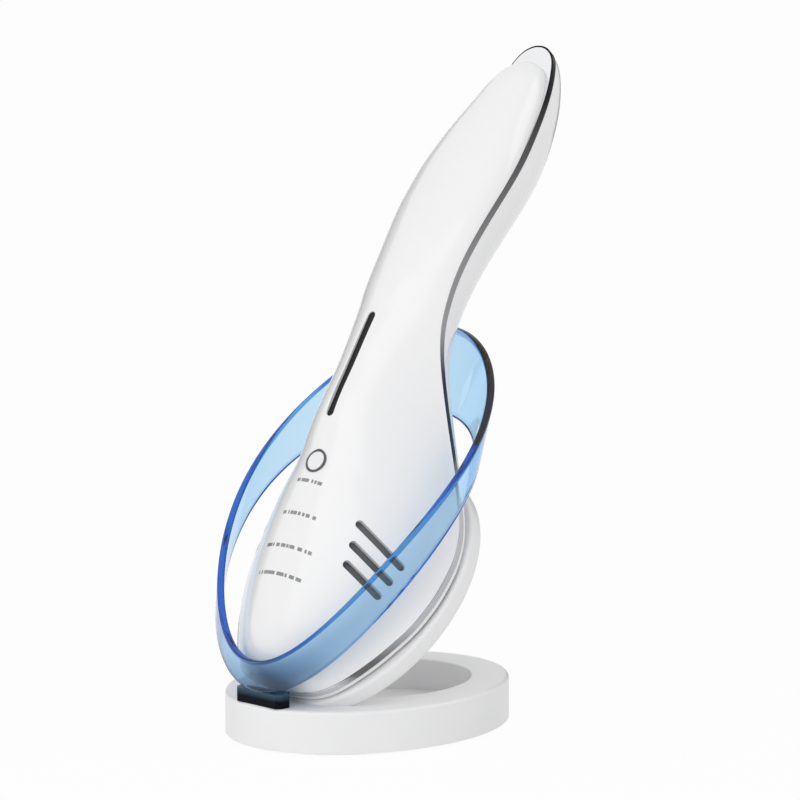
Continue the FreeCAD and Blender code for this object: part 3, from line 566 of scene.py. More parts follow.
@dataclass
class HandsetForm:
    """Outer form of the handset in its own frame: sideways, out of the plate, along the plate."""

    lean: float = LEAN
    foot_y: float = FOOT_Y
    foot_z: float = FOOT_Z
    length: float = 187.0
    start: float = 0.4
    head: float = 33.6
    grip: float = 15.5
    trim_centre: float = 3.0
    rise: float = 37.9
    crest: float = 32.0
    grip_front: float = 9.6
    lip: float = 2.57
    grip_rear: float = 15.0
    trim_height: float = 2.0
    setback: float = 5.5
    setback_power: float = 8.0
    thinnest: float = 0.06
    rows: int = 420
    columns: int = 97
    blur: float = 0.010
    # Each row: place along the handset, shares of the head's half width, the grip's half width, the
    # joint's rise, the head's crest, the grip's front and the rear's depth, and the powers that arch
    # the front and square the rear.
    shares: tuple = (
        (0.000, 0.00, 0.0, 0.0, 0.00, 0.0, 0.0, 0.90, 0.18),
        (0.001, 0.15, 0.0, 0.0, 0.12, 0.0, 0.0, 0.90, 0.18),
        (0.006, 0.35, 0.0, 0.0, 0.27, 0.0, 0.0, 0.90, 0.18),
        (0.020, 0.50, 0.0, 0.0, 0.40, 0.0, 0.0, 0.95, 0.18),
        (0.050, 0.66, 0.0, 0.0, 0.53, 0.0, 0.0, 1.05, 0.18),
        (0.100, 0.84, 0.0, 0.0, 0.67, 0.0, 0.0, 1.10, 0.18),
        (0.150, 0.96, 0.0, 0.0, 0.77, 0.0, 0.0, 1.15, 0.18),
        (0.200, 1.00, 0.0, 0.0, 0.865, 0.0, 0.0, 1.20, 0.18),
        (0.245, 0.985, 0.0, 0.0, 0.94, 0.0, 0.0, 1.20, 0.22),
        (0.285, 0.92, 0.0, 0.004, 0.985, 0.0, 0.02, 1.20, 0.36),
        (0.330, 0.83, 0.0, 0.090, 0.99, 0.0, 0.10, 1.20, 0.56),
        (0.370, 0.65, 0.18, 0.215, 0.92, 0.0, 0.25, 1.20, 0.74),
        (0.415, 0.44, 0.42, 0.390, 0.71, 0.15, 0.42, 1.15, 0.86),
        (0.460, 0.25, 0.66, 0.580, 0.43, 0.50, 0.58, 1.10, 0.94),
        (0.500, 0.10, 0.86, 0.740, 0.18, 0.84, 0.72, 1.05, 1.0),
        (0.545, 0.0, 0.99, 0.860, 0.0, 1.12, 0.82, 0.92, 1.0),
        (0.600, 0.0, 0.955, 0.940, 0.0, 1.00, 0.90, 0.82, 1.0),
        (0.650, 0.0, 0.97, 0.980, 0.0, 0.95, 0.94, 0.70, 1.0),
        (0.700, 0.0, 1.00, 1.000, 0.0, 0.95, 0.975, 0.60, 1.0),
        (0.750, 0.0, 1.00, 0.998, 0.0, 0.97, 1.00, 0.52, 1.0),
        (0.800, 0.0, 0.95, 0.986, 0.0, 1.00, 1.00, 0.46, 1.0),
        (0.840, 0.0, 0.86, 0.977, 0.0, 1.03, 0.96, 0.43, 1.0),
        (0.880, 0.0, 0.75, 0.974, 0.0, 1.01, 0.87, 0.42, 1.0),
        (0.925, 0.0, 0.63, 0.988, 0.0, 0.93, 0.725, 0.42, 1.0),
        (0.960, 0.0, 0.505, 1.012, 0.0, 0.75, 0.54, 0.42, 1.0),
        (0.985, 0.0, 0.365, 1.036, 0.0, 0.48, 0.33, 0.45, 1.0),
        (0.999, 0.0, 0.10, 1.050, 0.0, 0.20, 0.09, 0.48, 1.0),
        (1.000, 0.0, 0.00, 1.051, 0.0, 0.00, -0.10, 0.48, 1.0),
    )
    share: Grid = field(init=False)
    half_width: Grid = field(init=False)
    parting: Grid = field(init=False)
    front: Grid = field(init=False)
    rear: Grid = field(init=False)
    bell: Grid = field(init=False)
    square: Grid = field(init=False)

    def __post_init__(self) -> None:
        """Work out the smooth curves along the handset."""
        table = np.array(self.shares)
        places = np.arccos(1 - 2 * table[:, 0]) / np.pi
        even = np.linspace(0.0, 1.0, self.rows)
        self.share = (1 - np.cos(np.pi * even)) / 2
        columns = [smooth_curve(places, column, even, self.blur) for column in table.T[1:]]
        head, grip, rise, crest, front, rear, self.bell, self.square = columns
        self.half_width = np.maximum(head * self.head + grip * self.grip, 0.0)
        self.parting = self.trim_centre + rise * self.rise
        self.front = np.maximum(crest * self.crest + front * self.grip_front, 0.0)
        self.rear = self.lip + rear * self.grip_rear
        self.half_width[[0, -1]] = 0.0
        self.front[[0, -1]] = 0.0

    def world(self, x: Grid | float, out: Grid | float, along: Grid | float) -> Grid:
        """Points of the handset's own frame in the shared frame.

        Args:
            x: Sideways.
            out: Out of the plate.
            along: Up along the plate.

        Returns:
            Point table in millimetres.
        """
        sine, cosine = math.sin(self.lean), math.cos(self.lean)
        x, out, along = np.broadcast_arrays(x, out, along)
        y = self.foot_y + along * sine - out * cosine
        z = self.foot_z + along * cosine + out * sine
        return np.stack([x, y, z], -1)

    def direction(self, x: float, out: float, along: float) -> Grid:
        """Unit vector of the shared frame for a direction in the handset's own frame."""
        return unit(self.world(x, out, along) - self.world(0.0, 0.0, 0.0))

    def along(self, shrink: float, setback: float) -> Grid:
        """Places of the rows, with both ends drawn in and the tip set back further."""
        run = self.length - 2 * shrink
        return self.start + shrink + self.share * run - setback * self.share**self.setback_power

    def parting_at(self, along: Grid) -> Grid:
        """Height of the shells' joint above the plate at these places."""
        return np.interp(along, self.along(0.0, 0.0), self.parting)

    def front_at(self, x: float, along: float) -> float:
        """Height of the front surface at one spot.

        Args:
            x: Sideways place.
            along: Place along the handset.

        Returns:
            Height above the plate.
        """
        rows = self.along(0.0, self.setback)
        curves = (self.half_width, self.front, self.bell)
        width, front, bell = (np.interp(along, rows, curve) for curve in curves)
        half = self.trim_height / 2
        arch = max(1 - (x / width) ** 2, 0.0) ** bell
        return float(self.parting_at(along) + half + max(front - half, 0.0) * arch)

    def shell(self, shrink: float, front: bool) -> Grid:
        """Grid of one shell's outer or inner face.

        Each row is half a turn: sideways half the width times the cosine, and away from the joint the
        height times a power of the sine. The rear also has a power of the cosine, which squares it.

        Args:
            shrink: How far the face lies inside the outer one.
            front: True for the front shell, False for the rear one.

        Returns:
            Rows of points in the shared frame.
        """
        turn = half_turn(self.columns)[None, :]
        sine, cosine = np.clip(np.sin(turn), 0.0, 1.0), np.cos(turn)
        along = self.along(shrink, self.setback if front else 0.0)[:, None]
        width = np.maximum(self.half_width - shrink, self.half_width * self.thinnest)[:, None]
        half = self.trim_height / 2
        base = self.parting_at(along)
        if front:
            full = np.maximum(self.front - half, 0.0)
            height = np.maximum(full - shrink, full * self.thinnest)[:, None]
            lift = sine ** (2 * self.bell[:, None])
            return self.world(width * cosine, base + half + height * lift, along)
        full = np.maximum(self.rear - half, 0.0)
        depth = np.maximum(full - shrink, full * self.thinnest)[:, None]
        square = self.square[:, None]
        side = np.sign(np.round(cosine, 9)) * np.abs(cosine) ** square
        return self.world(width * side, base - half - depth * sine**square, along)


def hollow_shell(
    name: str, outer: Grid, inner: Grid, marks: dict[str, Grid] | None = None
) -> bpy.types.Object:
    """Closed shell between an outer and an inner grid, with a rim along both sides.

    Args:
        name: Name of the object.
        outer: Grid of the outer face.
        inner: Grid of the inner face, of the same size.
        marks: Values on the outer face by name, zero elsewhere.

    Returns:
        The new object.
    """
    rows, columns = outer.shape[:2]
    face = grid_quads(rows, columns)
    rims = [np.stack([outer[:, side], inner[:, side]], 1).reshape(-1, 3) for side in (0, -1)]
    strip = grid_quads(rows, 2)
    points, quads = merged([outer.reshape(-1, 3), inner.reshape(-1, 3), *rims], [face, face, strip, strip])
    rest = np.zeros(len(points) - rows * columns)
    values = {mark: np.concatenate([value.ravel(), rest]) for mark, value in (marks or {}).items()}
    return new_object(name, points, quads, marks=values)


@dataclass
class Piece:
    """One visible piece: its mesh, what it stands for and what it rides on."""

    item: bpy.types.Object
    body: Body
    slot: Slot
    material: bpy.types.Material
    nodes: tuple[str, ...] = ()

    def mount(self) -> None:
        """Give the piece its material and hang it on its body."""
        self.item.data.materials.clear()
        self.item.data.materials.append(self.material)
        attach(self.item, self.body.value)
        if self.nodes:
            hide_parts(*self.nodes)


@dataclass
class Handset:
    """Shells and trim of the handset, with the openings in its front."""

    form: HandsetForm
    wall: float = 2.0
    # Place of the painted shadow line on the rear shell's foot: how deep and how far out it lies, and where
    # along the handset it fades.
    painted_gap_shadow_deep: float = 0.77
    painted_gap_shadow_wide: float = 0.973
    painted_gap_shadow_end: float = 0.32
    painted_gap_shadow_fade: float = 0.06
    trim_proud: float = 0.2
    trim_width: float = 2.0
    trim_gap: float = 0.06
    trim_round: float = 0.15
    trim_face: tuple = (0.55, 0.6)
    trim_face_share: float = 0.9
    trim_steps: int = 5
    trim_sharp: float = 50.0
    button_along: float = 53.4
    button_radius: float = 2.85
    bezel_radius: float = 3.35
    bezel_depth: float = 1.2
    button_depth: float = 6.0
    button_reach: float = 2.9
    cut_reach: float = 3.0
    vent_reach: float = 12.0
    slot_start: float = 65.0
    slot_end: float = 95.4
    slot_width: float = 2.6
    # Each air slot: sideways and lengthways shares of its first end, then of its last one.
    vents: tuple = ((0.485, 0.226, 0.774, 0.204), (0.497, 0.196, 0.753, 0.177), (0.503, 0.168, 0.723, 0.152))
    vent_width: float = 2.2

    def ridge(self, along: float) -> Grid:
        """Point on the front ridge at this place along the handset."""
        return self.flank(0.0, along)

    def flank(self, x: float, along: float) -> Grid:
        """Point on the front surface, sideways of the ridge by x."""
        return self.form.world(x, self.form.front_at(x, along), along)

    def cutters(self) -> list[bpy.types.Object]:
        """Bars that cut the button's seat, the indicator slot and the air slots.

        Returns:
            The bars.
        """
        right = np.array([1.0, 0.0, 0.0])
        low, high = (self.ridge(self.button_along + step * self.button_radius) for step in (-1, 1))
        out = np.cross(right, unit(high - low))
        out *= np.sign(out[2])
        middle = self.ridge(self.button_along)
        seat, hole = (circle(middle, radius, out) for radius in (self.bezel_radius, self.button_radius))
        made = [bar("cut_seat", seat, out, self.bezel_depth, self.cut_reach)]
        made.append(bar("cut_button", hole, out, self.button_depth, self.button_reach))
        first, last = self.ridge(self.slot_start), self.ridge(self.slot_end)
        run = unit(last - first)
        out = np.cross(right, run)
        out *= np.sign(out[2])
        half = self.slot_width / 2
        outline = stadium(first + run * half, last - run * half, half, out)
        made.append(bar("cut_slot", outline, out, 2 * self.wall, self.cut_reach))
        for side in (-1.0, 1.0):
            for vent in self.vents:
                across = [side * share * self.form.head for share in vent[::2]]
                along = [self.form.start + share * self.form.length for share in vent[1::2]]
                first, last = map(self.flank, across, along)
                out = np.cross(unit(last - first), self.form.direction(0.0, 0.0, 1.0))
                out *= np.sign(out @ self.form.direction(0.0, 1.0, 0.0)) / np.linalg.norm(out)
                outline = stadium(first, last, self.vent_width / 2, out)
                made.append(bar(f"cut_vent_{len(made)}", outline, out, 2 * self.wall, self.vent_reach))
        return made

    def front_shell(self) -> bpy.types.Object:
        """Front shell with its openings.

        Returns:
            The new object.
        """
        made = hollow_shell("front_shell_look", self.form.shell(0.0, True), self.form.shell(self.wall, True))
        carve(made, self.cutters())
        return made

    def rear_shell(self) -> bpy.types.Object:
        """Rear shell, flat a hair behind the treatment plate, with a painted shadow line at its foot, next
        to the plate.

        Returns:
            The new object.
        """
        form = self.form
        turn = half_turn(form.columns)[None, :]
        square = form.square[:, None]
        deep, wide = np.clip(np.sin(turn), 0.0, 1.0) ** square, np.abs(np.cos(turn)) ** square
        # Painted shadow: a dark band on the lower corners next to the plate stands in for the shade in the
        # gap between shell and plate, and fades out up the handset.
        fade = np.clip((self.painted_gap_shadow_end - form.share) / self.painted_gap_shadow_fade, 0.0, 1.0)[:, None]
        marks = {"painted_shadow_line": ((deep > self.painted_gap_shadow_deep) & (wide > self.painted_gap_shadow_wide)) * fade}
        outer, inner = (form.shell(shrink, False) for shrink in (0.0, self.wall))
        return hollow_shell("rear_shell_look", outer, inner, marks)

    def trim(self) -> bpy.types.Object:
        """Bright band on the joint of the shells, rounded on its outside.

        A section of shares outwards and lifts off the joint is carried up the right side and, mirrored,
        down the left one.

        Returns:
            The new object.
        """
        form = self.form
        half = form.trim_height / 2 - self.trim_gap
        out_x, out_along = form.half_width + self.trim_proud, form.along(-self.trim_proud, 0.0)
        in_x = np.maximum(form.half_width - self.trim_width, form.half_width * form.thinnest)
        in_along = form.along(self.trim_width, form.setback)
        out_x[[0, -1]] = 0.0
        turn = quarter_turn(self.trim_steps)
        reach = np.maximum(np.hypot(out_x - in_x, out_along - in_along), self.trim_round)[:, None]
        bend = self.trim_round * (1 - np.concatenate([np.sin(turn), np.cos(turn)])) / reach
        strip = 1 - np.minimum(np.array([self.trim_face]) / reach, self.trim_face_share)
        shares = np.concatenate([np.zeros_like(reach), 1 - bend, strip, np.zeros_like(reach)], 1)
        curve = (half - self.trim_round) + self.trim_round * np.cos(turn)
        lifts = np.concatenate([[-half], -curve, curve[::-1], [half] * 3])[None, :]
        x = in_x[:, None] + (out_x - in_x)[:, None] * shares
        along = in_along[:, None] + (out_along - in_along)[:, None] * shares
        right = form.world(x, form.parting_at(along) + lifts, along)
        left = form.world(-x, form.parting_at(along) + lifts, along)
        loop = np.concatenate([right, left[-2:0:-1]])
        # Painted reflections: the outer face carries the edge mark, on which the finish paints dark and
        # light stretches by height.
        edge = np.zeros(loop.shape[:2])
        edge[:, 2:-2] = 1.0
        quads = grid_quads(len(loop), loop.shape[1], True, True)
        marks = {"edge": edge.ravel()}
        return new_object("chrome_trim_look", loop.reshape(-1, 3), quads, self.trim_sharp, marks)

    def pieces(self) -> list[Piece]:
        """Shells and trim with their finishes.

        Returns:
            The pieces.
        """
        made = (
            (self.front_shell(), Slot.WHITE, MARKED_WHITE, "front_shell"),
            (self.rear_shell(), Slot.WHITE, WHITE_GLOSS_WITH_PAINTED_SHADOW, "rear_shell"),
            (self.trim(), Slot.CHROME, CHROME, "chrome_trim"),
        )
        return [Piece(item, Body.HANDSET, slot, look.material(), (node,)) for item, slot, look, node in made]


@dataclass
class HolderRing:
    """Clear blue band round the handset, on its dark foot."""

    half_width: float = 36.5
    wall: float = 2.0
    edge: float = 0.7
    upper: tuple = (-43.5, 24.3, 31.7, 105.2, 70.0, 33.6, 0.08)
    lower: tuple = (-41.6, 15.3, 27.3, 82.2, 57.7, 30.7, -0.03)
    count: int = 512
    edge_steps: int = 6
    sharp: float = 60.0
    wall_shares: tuple = (0.03, 0.06, 0.072, 0.15, 0.3, 0.5, 0.7, 0.85, 0.97)
    # Painted shade on the ring: how far down the outer wall it reaches from the upper rim, its strength on
    # the lower rim, and its strength round the ring from front to back.
    painted_shade_wall_share: float = 0.07
    lower_rim_painted_shade: float = 0.4
    rim_painted_shade_ways: tuple = (-1.0, 0.92, 0.97, 1.0)
    rim_painted_shade_shares: tuple = (1.0, 1.0, 0.55, 0.5)
    foot_width: float = 17.2
    foot_front: float = -41.6
    foot_depth: float = 5.4
    foot_low: float = FOOT_Z
    foot_high: float = 15.7
    foot_chamfer: float = 1.4

    def rim(self, rim: tuple, shrink: float) -> Grid:
        """Points round one rim.

        The way is the sine of the turn, -1 in front and 1 behind. Sideways the rim follows the cosine,
        wider to one end by the egg share, and its height is a cubic in the way.

        Args:
            rim: Places of its front and back, its middle height, its climb and its egg share.
            shrink: How far inside the outer face it lies.

        Returns:
            Point table.
        """
        front_y, front_z, back_y, back_z, middle_z, climb, egg = rim
        turn = full_turn(self.count)
        way = np.sin(turn)
        bow, twist = (front_z + back_z) / 2 - middle_z, (back_z - front_z) / 2 - climb
        x = (self.half_width - shrink) * np.cos(turn) * (1 + egg * way)
        y = (front_y + back_y) / 2 + ((back_y - front_y) / 2 - shrink) * way
        return np.stack([x, y, middle_z + climb * way + bow * way**2 + twist * way**3], -1)

    def band(self) -> bpy.types.Object:
        """Ring with rounded rims.

        Its section goes round the wall, with a quarter round at each of the four edges, and is carried
        round both rims at once.

        Returns:
            The new object.
        """
        lower_out, upper_out = self.rim(self.lower, 0.0), self.rim(self.upper, 0.0)
        lower_in, upper_in = self.rim(self.lower, self.wall), self.rim(self.upper, self.wall)
        tall = np.linalg.norm(upper_out - lower_out, axis=1)[:, None]
        turn = quarter_turn(self.edge_steps)
        high, section = 1 - self.edge / tall, []
        inset = self.edge / self.wall

        def point(across: float, up: Grid) -> Grid:
            """Loop of points in the wall.

            Args:
                across: 0 on the outer face, 1 on the inner one.
                up: 0 at the lower rim, 1 at the upper one, for each place.

            Returns:
                Point table.
            """
            outside = lower_out + (upper_out - lower_out) * up
            inside = lower_in + (upper_in - lower_in) * up
            return outside + (inside - outside) * across

        for angle in turn:
            section.append(point(inset * (1 - math.cos(angle)), high + (1 - high) * math.sin(angle)))
        for angle in turn[::-1]:
            section.append(point(1 - inset * (1 - math.cos(angle)), high + (1 - high) * math.sin(angle)))
        section += [point(1.0, high + (1 - 2 * high) * share) for share in self.wall_shares]
        for angle in turn:
            section.append(point(1 - inset * (1 - math.cos(angle)), (1 - high) * (1 - math.sin(angle))))
        for angle in turn[::-1]:
            section.append(point(inset * (1 - math.cos(angle)), (1 - high) * (1 - math.sin(angle))))
        section += [point(0.0, high + (1 - 2 * high) * share) for share in self.wall_shares[::-1]]
        loop = np.stack(section, 1)
        # Painted shade: the rims and a strip of the outer wall under the upper rim carry the rim mark, which
        # the finish paints deeper blue. It is weaker on the lower rim and at the back.
        edge = np.ones(2 * len(turn))
        wall = (np.array(self.wall_shares) < self.painted_shade_wall_share).astype(float)
        marks = np.concatenate([edge, np.zeros_like(wall), self.lower_rim_painted_shade * edge, wall[::-1]])
        way = np.sin(full_turn(self.count))
        deep = np.interp(way, self.rim_painted_shade_ways, self.rim_painted_shade_shares)
        rim = (deep[:, None] * marks[None, :]).ravel()
        quads = grid_quads(self.count, loop.shape[1], True, True)
        return new_object("holder_ring_look", loop.reshape(-1, 3), quads, self.sharp, {"rim": rim})

    def foot(self) -> bpy.types.Object:
        """Dark chamfered foot that joins the ring to the base.

        Returns:
            The new object.
        """
        half, cut = self.foot_width / 2, self.foot_chamfer
        front, back = self.foot_front, self.foot_front + self.foot_depth
        side = [(half, front + cut), (half, back - cut), (half - cut, back)]
        other = [(-half, back - cut), (-half, front + cut), (cut - half, front)]
        outline = np.array([*side, (cut - half, back), *other, (half - cut, front)])
        flat = np.column_stack([outline, np.full(len(outline), self.foot_low)])
        made = bar("ring_foot_look", flat, np.array([0.0, 0.0, 1.0]), 0.0, self.foot_high - self.foot_low)
        # The foot mark covers the whole foot, where the finish paints its shade by height.
        layer = made.data.attributes.new("foot", "FLOAT", "POINT")
        layer.data.foreach_set("value", np.ones(len(made.data.vertices)))
        return made

    def pieces(self) -> list[Piece]:
        """Ring and foot with their finishes."""
        band = Piece(self.band(), Body.STAND, Slot.BLUE, BLUE.material(), ("holder_ring",))
        return [band, Piece(self.foot(), Body.STAND, Slot.BLUE, NAVY.material())]


@dataclass
class Dock:
    """White base with its well, and the leaning plate."""

    form: HandsetForm
    half_x: float = 33.4
    half_y: float = 42.3
    low: float = 0.6
    high: float = FOOT_Z
    edge: float = 1.0
    well_x: float = 21.7
    well_y: float = 26.0
    well_shift: float = 5.4
    well_low: float = 3.4
    well_edge: float = 0.6
    count: int = 320
    edge_steps: int = 7
    plate_x: float = 34.7
    plate_length: float = 39.5
    plate_centre: float = 37.7
    plate_thickness: float = 5.4
    plate_edge: float = 1.1
    inlet_width: float = 9.2
    inlet_height: float = 3.5
    inlet_low: float = 6.15
    inlet_depth: float = 8.0
    inlet_reach: float = 4.0
    pin_x: float = 5.0
    pin_along: float = 7.5
    pin_hole: float = 1.38
    pin_depth: float = 4.4
    pin_reach: float = 1.0
    pin_count: int = 32
    foot_cut_half: float = 60.0
    foot_cut_depth: float = 20.0

    def base(self) -> bpy.types.Object:
        """Oval base with a rounded top edge and a well.

        Every row is an oval: half sizes less an inset, times cosine and sine. It belongs to the outside
        or to the well, and the first and last rows shut to a point.

        Returns:
            The new object.
        """
        turn, arc = full_turn(self.count), quarter_turn(self.edge_steps)
        rows = [(0.0, self.low, True, 1.0), (0.0, self.low, True, 0.0)]
        for angle in arc:
            sink = self.edge * (1 - math.sin(angle))
            rows.append((self.edge * (1 - math.cos(angle)), self.high - sink, True, 0.0))
        for angle in arc:
            sink = self.well_edge * (1 - math.cos(angle))
            rows.append((-self.well_edge * (1 - math.sin(angle)), self.high - sink, False, 0.0))
        rows += [(0.0, self.well_low, False, 0.0), (0.0, self.well_low, False, 1.0)]
        loops = []
        for inset, z, is_outer, shut in rows:
            half_x, half_y = (self.half_x, self.half_y) if is_outer else (self.well_x, self.well_y)
            shift = 0.0 if is_outer else self.well_shift
            grow = 1 - shut
            x = (half_x - inset) * grow * np.cos(turn)
            y = shift + (half_y - inset) * grow * np.sin(turn)
            loops.append(np.stack([x, y, np.full_like(turn, z)], -1))
        loop = np.stack(loops)
        quads = grid_quads(len(rows), self.count, wrap_columns=True)
        made = new_object("dock_base_look", loop.reshape(-1, 3), quads)
        half, back = self.inlet_height / 2, np.array([0.0, 1.0, 0.0])
        middle = np.array([0.0, self.half_y, self.inlet_low + half])
        reach = np.array([self.inlet_width / 2 - half, 0.0, 0.0])
        outline = stadium(middle - reach, middle + reach, half, back)
        carve(made, [bar("cut_inlet", outline, back, self.inlet_depth, self.inlet_reach)])
        return made

    def plate(self) -> bpy.types.Object:
        """Leaning oval plate with rounded edges, cut off at the base's top.

        Every row is an oval along the plate, drawn in over a quarter round at the front and the back
        edge and shut to a point in the middle of both faces.

        Returns:
            The new object.
        """
        turn, arc = full_turn(self.count)[None, :], quarter_turn(self.edge_steps)
        edge, thick = self.plate_edge, self.plate_thickness
        fall, rise = edge * (1 - np.sin(arc)), edge * (1 - np.cos(arc))
        middle = [max(self.plate_x, self.plate_length)]
        inset = np.concatenate([middle, fall, rise, middle])[:, None]
        out = np.concatenate([[0.0], -rise, fall - thick, [-thick]])[:, None]
        x = np.maximum(self.plate_x - inset, 0.0) * np.cos(turn)
        along = self.plate_centre + np.maximum(self.plate_length - inset, 0.0) * np.sin(turn)
        points = self.form.world(x, out, along)
        quads = grid_quads(len(inset), self.count, wrap_columns=True)
        made = new_object("back_plate_look", points.reshape(-1, 3), quads)
        square = np.array([(-1.0, -1.0), (1.0, -1.0), (1.0, 1.0), (-1.0, 1.0)]) * self.foot_cut_half
        floor = np.column_stack([square, np.full(len(square), self.high)])
        cutters = [bar("cut_foot", floor, np.array([0.0, 0.0, 1.0]), self.foot_cut_depth, 0.0)]
        normal = self.form.direction(0.0, 1.0, 0.0)
        for side in (-1.0, 1.0):
            middle = self.form.world(side * self.pin_x, 0.0, self.pin_along)
            hole = circle(middle, self.pin_hole, normal, self.pin_count)
            cutters.append(bar(f"cut_pin_{len(cutters)}", hole, normal, self.pin_depth, self.pin_reach))
        carve(made, cutters)
        return made

    def pieces(self) -> list[Piece]:
        """Base and plate with their finish.

        Returns:
            The pieces.
        """
        satin = SATIN_WHITE.material()
        base = Piece(self.base(), Body.STAND, Slot.WHITE, satin, ("dock_base",))
        return [base, Piece(self.plate(), Body.STAND, Slot.WHITE, satin, ("back_plate",))]


@dataclass
class Studio:
    """Camera, floor and light."""

    azimuth: float = 45.0
    elevation: float = 9.81
    distance: float = 1.5
    target_z: float = 0.08856
    target_right: float = 0.00861
    lens: float = 253.125
    sensor: float = 36.0
    nearest: float = 0.05
    farthest: float = 50.0
    floor_size: float = 6.0
    floor_cloud: float = 3.0
    floor_shades: tuple = ((0.86, 0.86, 0.86), (0.88, 0.88, 0.88))
    floor_glow: float = 0.95
    room: float = 0.74
    lean: float = 0.36
    bright_back: float = 0.7
    bright_left: float = 0.65
    bright_down: float = 0.3
    # Each card: name, place to the right, up and towards the camera, width and height, and power.
    cards: tuple = (
        ("key", (-0.5, 0.4, 1.1), (1.2, 1.0), 3.0),
        ("rim", (0.95, 0.75, 0.2), (0.6, 0.8), 2.0),
    )
    flags: tuple = (
        ("flag_right_back", (0.3, 0.1, -0.8), (0.36, 0.8)),
        ("flag_left_back", (-0.5, 0.1, -0.7), (0.6, 0.8)),
    )
    flag_shades: tuple = ((0.02, 0.02, 0.02), (0.03, 0.03, 0.03))
    flag_roughness: float = 0.8

    def frame_vectors(self) -> tuple[Vector, Vector, Vector]:
        """Camera's backward, right and upward unit vectors.

        Returns:
            The three vectors.
        """
        turn, rise = math.radians(self.azimuth), math.radians(self.elevation)
        level = math.cos(rise)
        back = Vector((math.sin(turn) * level, -math.cos(turn) * level, math.sin(rise)))
        right = Vector((math.cos(turn), math.sin(turn), 0.0))
        return back, right, back.cross(right)

    def middle(self) -> Vector:
        """Middle of the object, which the light is aimed at."""
        return Vector((0.0, 0.0, self.target_z))

    def spot(self, place: tuple) -> Vector:
        """Point to the right, up and towards the camera from the middle, in metres."""
        back, right, up = self.frame_vectors()
        return self.middle() + right * place[0] + up * place[1] + back * place[2]

    def camera(self) -> None:
        """Camera at the photograph's place."""
        back, right, up = self.frame_vectors()
        data = bpy.data.cameras.new("camera")
        data.lens, data.sensor_width = self.lens, self.sensor
        data.clip_start, data.clip_end = self.nearest, self.farthest
        item = bpy.data.objects.new("camera", data)
        bpy.context.scene.collection.objects.link(item)
        target = self.middle() + right * self.target_right
        turn = Matrix((right, up, back)).transposed().to_4x4()
        item.matrix_world = Matrix.Translation(target + back * self.distance) @ turn
        bpy.context.scene.camera = item

    def floor(self) -> None:
        """Pale floor that keeps the contact shadow."""
        half = self.floor_size / 2 / MM
        points = np.array([(-half, -half, 0.0), (half, -half, 0.0), (half, half, 0.0), (-half, half, 0.0)])
        item = new_object("floor", points, np.array([[0, 1, 2, 3]]))
        made = bpy.data.materials.new("floor_paint")
        made.use_nodes = True
        graph = Graph(made.node_tree)
        paint = graph.between(graph.noise(self.floor_cloud), *self.floor_shades)
        matt = graph.out("ShaderNodeBsdfDiffuse", 0, {"Color": paint})
        glow = graph.out("ShaderNodeEmission", 0, {"Color": (1.0, 1.0, 1.0, 1.0), "Strength": 1.0})
        share = self.looked_at(graph) * self.floor_glow
        surface = graph.out("ShaderNodeMixShader", 0, {0: share, 1: matt, 2: glow})
        graph.node("ShaderNodeOutputMaterial", {"Surface": surface})
        item.data.materials.append(made)

    @staticmethod
    def looked_at(graph: Graph) -> Socket:
        """Tell whether a ray shows the backdrop to the camera, straight or by mirror or glass.

        Args:
            graph: Graph of the backdrop.

        Returns:
            1 for such rays, 0 for rays that only light the object.
        """
        path = graph.node("ShaderNodeLightPath")
        names = ("Is Camera Ray", "Is Glossy Ray", "Is Transmission Ray")
        straight, mirror, glass = (Socket(graph, path.outputs[name]) for name in names)
        return (straight + mirror + glass).clamp()

    def flag(self, name: str, place: tuple, size: tuple) -> None:
        """Dark card outside the picture that gives bright metal something to mirror.

        Args:
            name: Name of the card.
            place: Right, up and towards the camera, in metres from the object.
            size: Width and height in metres.
        """
        where = self.spot(place)
        facing = (self.middle() - where).normalized()
        side = facing.cross(Vector((0.0, 0.0, 1.0))).normalized()
        rise = side.cross(facing)
        corners = [(-1, -1), (1, -1), (1, 1), (-1, 1)]
        width, height = side * (size[0] / 2), rise * (size[1] / 2)
        points = np.array([where + width * across + height * over for across, over in corners])
        item = new_object(name, points / MM, np.array([[0, 1, 2, 3]]))
        item.data.materials.append(Finish(name, *self.flag_shades, self.flag_roughness).material())
        item.visible_camera = item.visible_diffuse = item.visible_shadow = item.visible_transmission = False

    def card(self, name: str, place: tuple, size: tuple, power: float) -> None:
        """Soft light aimed at the object.

        Args:
            name: Name of the light.
            place: Right, up and towards the camera, in metres from the object.
            size: Width and height in metres.
            power: Power in watts.
        """
        data = bpy.data.lights.new(name, "AREA")
        data.shape, data.size, data.size_y, data.energy = "RECTANGLE", size[0], size[1], power
        item = bpy.data.objects.new(name, data)
        bpy.context.scene.collection.objects.link(item)
        where = self.spot(place)
        turn = (where - self.middle()).to_track_quat("Z", "Y").to_matrix().to_4x4()
        item.matrix_world = Matrix.Translation(where) @ turn

    def world(self) -> None:
        """White backdrop, with a greyer room for light and reflections."""
        world = bpy.data.worlds.new("studio")
        bpy.context.scene.world = world
        world.use_nodes = True
        graph = Graph(world.node_tree)
        white = self.looked_at(graph)
        back, right, up = self.frame_vectors()
        bright = back * self.bright_back - right * self.bright_left - up * self.bright_down
        bright.normalize()
        way = graph.out("ShaderNodeTexCoord", "Generated")
        side = graph.out("ShaderNodeVectorMath", "Value", {0: way, 1: bright}, operation="DOT_PRODUCT")
        strength = white + (1 - white) * (side * self.lean + self.room)
        light = graph.out("ShaderNodeBackground", 0, {"Color": (1.0, 1.0, 1.0, 1.0), "Strength": strength})
        graph.node("ShaderNodeOutputWorld", {"Surface": light})

    def build(self) -> None:
        """Set up the whole studio."""
        self.camera()
        self.floor()
        self.world()
        for card in self.cards:
            self.card(*card)
        for flag in self.flags:
            self.flag(*flag)
        bpy.context.scene.view_settings.view_transform = "Standard"


